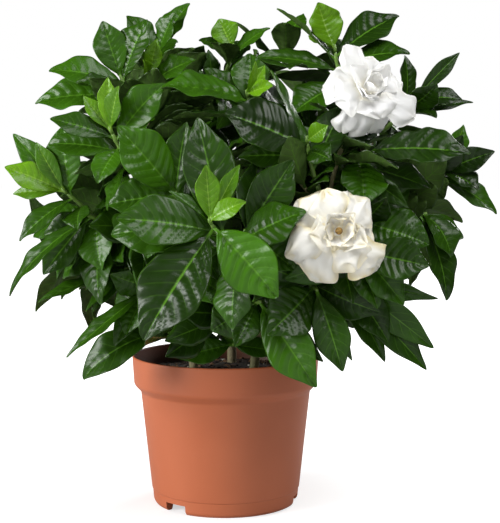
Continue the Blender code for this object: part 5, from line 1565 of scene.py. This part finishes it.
def inner_petals(bloom, axis, centre):
    """The small petals that turn round the heart of a bloom, between its larger ones."""
    rng = random.Random(str(bloom["centre"]))
    across = axis.orthogonal().normalized()
    made = []
    for k in range(0, INNER_PETALS, 1 if bloom["old"] else 2):
        turn = GOLDEN_ANGLE_DEG * k + rng.uniform(-12, 12)
        outward = Matrix.Rotation(math.radians(turn), 3, axis) @ across
        share = k / (INNER_PETALS - 1)
        root = centre + outward * (1.6 + 1.6 * share) + axis * (1.6 - 0.8 * share)
        reach = outward * (3.2 + 6.5 * share) + axis * (12.5 - 1.5 * share)
        spec = petal(*reach, 9 + 4 * share, -30 - 30 * share, 0.45)
        made.append(Blade(root, centre + reach, axis, spec, 0.0, 1.0, rng.uniform(0, 2 * math.pi)))
    return made[INNER_PETALS // 2 :] if bloom["old"] else made


def build_bloom(name, bloom, path, petals, sepals, filled, looks):
    rng = random.Random(name)
    base, axis = bloom_base(bloom)
    centre = Vector(bloom["centre"])
    skin = Skin()
    heights = np.linspace(-RECEPTACLE_DEPTH, RECEPTACLE_RISE, 7)
    widths = (CALYX_RADIUS, RECEPTACLE_RADIUS, RECEPTACLE_RADIUS * 0.7)
    radii = np.interp(heights, (-RECEPTACLE_DEPTH, -0.5, RECEPTACLE_RISE), widths)
    add_tube(skin, [centre + axis * h for h in heights], radii, THICK_SIDES, 0.1)
    old = 1.0 if bloom["old"] else 0.12
    for i, blade in enumerate(petals):
        age = old * (0.3 + 0.7 * i / len(petals)) * rng.uniform(0.7, 1.0)
        add_petal(skin, blade, PETAL_GRID, age, rng)
    for blade in inner_petals(bloom, axis, centre):
        add_petal(skin, blade, INNER_PETAL_GRID, 0.5 * old, rng)
    settle(skin.object(f"petals_{name}", looks["petal"]), name)
    skin = Skin()
    line = list(fine_line(path, STALK_LENGTH, 7, 1.5))
    end = path.at(0)[0]
    widths = (SHOOT_RADIUS, STALK_RADIUS, STALK_RADIUS)
    radii = list(np.interp(np.linspace(0, 1, len(line)), (0, 0.15, 1), widths))
    line += [path.at(5)[0], end - axis * 3, end - axis * 1.5, end]
    radii += [STALK_RADIUS * 1.15, CALYX_RADIUS * 0.8, CALYX_RADIUS * 0.95, CALYX_RADIUS]
    add_tube(skin, line, radii, STALK_SIDES, 0.5, 1)
    for blade in sepals:
        add_leaf(skin, blade, SEPAL_GRID, 0.8, rng)
    for blade in filled:
        add_leaf(skin, blade, SMALL_GRID, INSIDE_SHADE * shoot_tone(blade, rng), rng, 2)
    stalk = skin.object(f"flower_stalk_{name}", looks["young"], looks["green"], looks["leaf"])
    settle(stalk, f"stalk_{name}")
    if bloom["old"]:
        skin = Skin()
        points, _ = stigma_line(bloom)
        shares = np.linspace(0, 1, 26)
        radii = np.interp(shares, (0, 0.3, 0.5, 0.72, 0.9, 1), (0.5, 0.5, 0.8, 1, 0.85, 0.25))
        radii = radii * STIGMA_RADIUS * (1 + 0.05 * np.sin(shares * 40))
        line = [points[0].lerp(points[-1], share) for share in shares]
        add_tube(skin, line, radii, THICK_SIDES, 0.5)
        stigma = skin.object(f"stigma_club_{name}", looks["stigma"])
        settle(stigma, f"stigma_{name}")


# ================================================================ floor, light and camera
LIGHT_TARGET = Vector((0.0, 0.0, 0.18))
LAMPS = {  # where each stands, its size in metres and its power in watts
    "key": ((-2.2, -0.95, 0.85), 1.3, 92),
    "top": ((0.55, -0.85, 1.5), 0.9, 22),
    "front": ((0.3, -2.4, 0.45), 1.8, 9),
    "back": ((1.5, 1.8, 1.2), 1.2, 45),
}
CAMERA_PLACE = (0.0172, -0.839, 0.233)
CAMERA_LENS = 82.60038  # mm on a sensor 36 mm across
CAMERA_TILT_DEG = 85.639634  # from straight down


def build_stage():
    """A pale floor that also glows a little where the camera sees it, away from the pot."""
    g = material_graph("floor_paint")
    x, y, _ = g.split(g.object_place())
    glow = g.step(0.02, 0.35, g.root(x * x + y * y)) * 0.42 + 0.58
    look = g.finish(
        Base_Color=g.mix(g.noise(3.0), (0.50, 0.50, 0.50), (0.54, 0.54, 0.535)),
        Roughness=0.7,
        Specular_IOR_Level=0.1,
        Emission_Color=(1, 1, 1),
        Emission_Strength=glow * g.node("LightPath", {}, "Is Camera Ray"),
    )
    bpy.ops.mesh.primitive_circle_add(vertices=96, radius=14, fill_type="NGON")
    floor = bpy.context.object
    floor.name = "floor"
    floor.data.materials.append(look)
    floor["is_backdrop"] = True


def build_light():
    scene = bpy.context.scene
    for name, (place, size, power) in LAMPS.items():
        data = bpy.data.lights.new(name, "AREA")
        data.energy, data.size = power, size
        lamp = bpy.data.objects.new(name, data)
        lamp.location = place
        aim = LIGHT_TARGET - Vector(place)
        lamp.rotation_euler = aim.to_track_quat("-Z", "Y").to_euler()
        scene.collection.objects.link(lamp)
    g = Graph(bpy.data.worlds.new("studio"), "Background")
    soft = g.node("LightPath", {}, "Is Diffuse Ray") * 0.15 + 0.03
    strength = g.most(g.node("LightPath", {}, "Is Camera Ray"), soft)
    scene.world = g.finish(Color=(1, 1, 1), Strength=strength)


def build_camera():
    data = bpy.data.cameras.new("camera")
    data.sensor_fit = "AUTO"
    data.sensor_width = 36
    data.lens = CAMERA_LENS
    data.clip_start = 0.01
    cam = bpy.data.objects.new("camera", data)
    cam.location = CAMERA_PLACE
    cam.rotation_euler = (math.radians(CAMERA_TILT_DEG), 0, 0)
    bpy.context.scene.collection.objects.link(cam)
    bpy.context.scene.camera = cam


def main():
    bpy.context.scene.view_settings.view_transform = "Standard"
    build_stage()
    build_light()
    build_camera()
    looks = {
        "leaf": leaf_look("leaf_green_fine", *GROWN_GREENS),
        "young": leaf_look("leaf_young_fine", *YOUNG_GREENS),
        "green": green_stem_look(),
        "petal": petal_look(),
        "stigma": stigma_look(),
    }
    space, paths, blades, young = plan()
    filled = fill_leaves(space, paths)
    build_pot()
    build_soil()
    build_wood(paths, bark_look())
    for name, placed in blades.items():
        _, path, green, _, _ = paths[name]
        if name in BLOOMS:
            build_bloom(name, BLOOMS[name], path, placed, young[name], filled[name], looks)
        else:
            build_shoot(name, path, green, placed, young[name], filled[name], looks)
    corners = [[list(corner) for corner in box] for box in (CAD_BOX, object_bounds())]


main()
